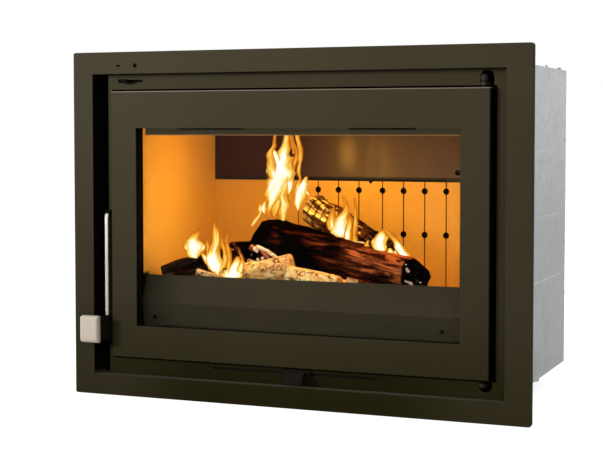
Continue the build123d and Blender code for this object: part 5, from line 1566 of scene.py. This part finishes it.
WHITE = (1.0, 1.0, 1.0)
LAMPS = (
    Lamp("fill", LampKind.SOFT_BOX, Vector((1.8, -2.6, 1.9)), 9.0, (0.0, -0.2, 0.4), WHITE,
         (1.2, 1.2)),
    Lamp("back", LampKind.SOFT_BOX, Vector((0.4, 2.4, 2.2)), 30.0, (0.0, 0.2, 0.3), WHITE,
         (2.0, 1.2)),
    Lamp("key", LampKind.SPOT, Vector((-2.35, -2.15, 1.0)), 450.0, (0.0, -0.24, 1.00), WHITE,
         radius=0.40),
    Lamp("fire_left", LampKind.FIRE, place(-140.0, 200.0, 320.0), 0.62),
    Lamp("fire_middle", LampKind.FIRE, place(-45.0, 205.0, 390.0), 0.97),
    Lamp("fire_right", LampKind.FIRE, place(150.0, 130.0, 330.0), 0.72),
    Lamp("glow_left", LampKind.FIRE, place(-125.0, 88.0, 262.0), 0.07, colour=(1.0, 0.80, 0.42)),
    Lamp("glow_right", LampKind.FIRE, place(15.0, 72.0, 250.0), 0.07, colour=(1.0, 0.80, 0.42)),
    Lamp("glow_rear", LampKind.FIRE, place(-40.0, 245.0, 330.0), 0.08, colour=(1.0, 0.74, 0.30)),
)


@dataclass
class Studio:
    """Floor, background, lamps and camera."""

    eye: Point = (0.89123, -2.37770, 0.45254)
    yaw: float = 22.115
    pitch: float = 2.815
    lens: float = 85.513
    sensor: float = 36.0
    shift: float = -0.06
    reach: float = 50.0
    ambient: float = 0.22
    floor_size: float = 9.0
    floor_z: float = -0.5 * MM
    floor_glow: float = 0.84

    def build(self) -> None:
        """Sets the studio up round the insert."""
        self.add_world()
        self.add_floor()
        for lamp in LAMPS:
            self.add_lamp(lamp)
        self.add_camera()
        bpy.context.scene.view_settings.view_transform = "Standard"

    def add_world(self) -> None:
        """White behind the object, and a soft grey light from all round."""
        world = bpy.data.worlds.new("studio")
        graph = Graph(world, "ShaderNodeBackground", "ShaderNodeOutputWorld")
        path = graph.add("ShaderNodeLightPath").outputs
        seen = graph.math("MAXIMUM", path["Is Camera Ray"], path["Is Glossy Ray"])
        seen = graph.math("MAXIMUM", seen, path["Is Transmission Ray"])
        strength = graph.add("ShaderNodeMapRange", {"Value": seen, "To Min": self.ambient})
        graph.set(Color=WHITE, Strength=strength.outputs[0])
        bpy.context.scene.world = world

    def add_floor(self) -> None:
        """Pale floor that keeps the object's shadow."""
        mesh = bmesh.new()
        bmesh.ops.create_grid(mesh, x_segments=1, y_segments=1, size=self.floor_size)
        floor = solid("floor", mesh)
        floor.location.z = self.floor_z
        material = bpy.data.materials.new("pale_floor")
        graph = Graph(material)
        seen = graph.add("ShaderNodeLightPath").outputs["Is Camera Ray"]
        colour = graph.mix(graph.noise(30.0, 2.0), (0.80, 0.80, 0.79), (0.83, 0.83, 0.82))
        graph.set(Base_Color=colour, Roughness=0.9, Specular_IOR_Level=0.1, Emission_Color=WHITE,
                  Emission_Strength=graph.times(seen, self.floor_glow))
        floor.data.materials.append(material)

    def add_lamp(self, lamp: Lamp) -> None:
        """Adds one lamp; those of the fire aren't seen themselves, not even through the glass."""
        light = bpy.data.lights.new(lamp.name, lamp.kind.value)
        light.energy = lamp.power
        light.color = lamp.colour
        if lamp.kind is LampKind.SOFT_BOX:
            light.shape = "RECTANGLE"
            light.size, light.size_y = lamp.size
        else:
            light.shadow_soft_size = lamp.radius
        if lamp.kind is LampKind.SPOT:
            light.spot_size = math.radians(lamp.beam)
            light.spot_blend = 1.0
        holder = put(lamp.name, light)
        holder.location = lamp.stand
        if lamp.kind is LampKind.FIRE:
            holder.visible_camera = holder.visible_transmission = False
        else:
            aim = Vector(lamp.target) - lamp.stand
            holder.rotation_euler = aim.to_track_quat("-Z", "Y").to_euler()

    def add_camera(self) -> None:
        """Camera at the photograph's viewing angle."""
        camera = bpy.data.cameras.new("camera")
        camera.lens = self.lens
        camera.sensor_width = self.sensor
        camera.shift_y = self.shift
        camera.clip_end = self.reach
        holder = put("camera", camera)
        holder.location = self.eye
        holder.rotation_euler = (math.radians(90.0 - self.pitch), 0.0, math.radians(self.yaw))
        bpy.context.scene.camera = holder


def main() -> None:
    """Builds the looks group by group and sets the studio up."""
    logging.basicConfig(level=logging.INFO, format="%(name)s: %(message)s")
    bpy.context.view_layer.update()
    shop = PaintShop()
    Studio().build()
    for group in (FrontTrim, AirControls, Door, Handle, Firebox, Casing, FireBed):
        LOG.info("building %s", group.__name__)
        group(shop).build()


if __name__ == "__main__":
    main()
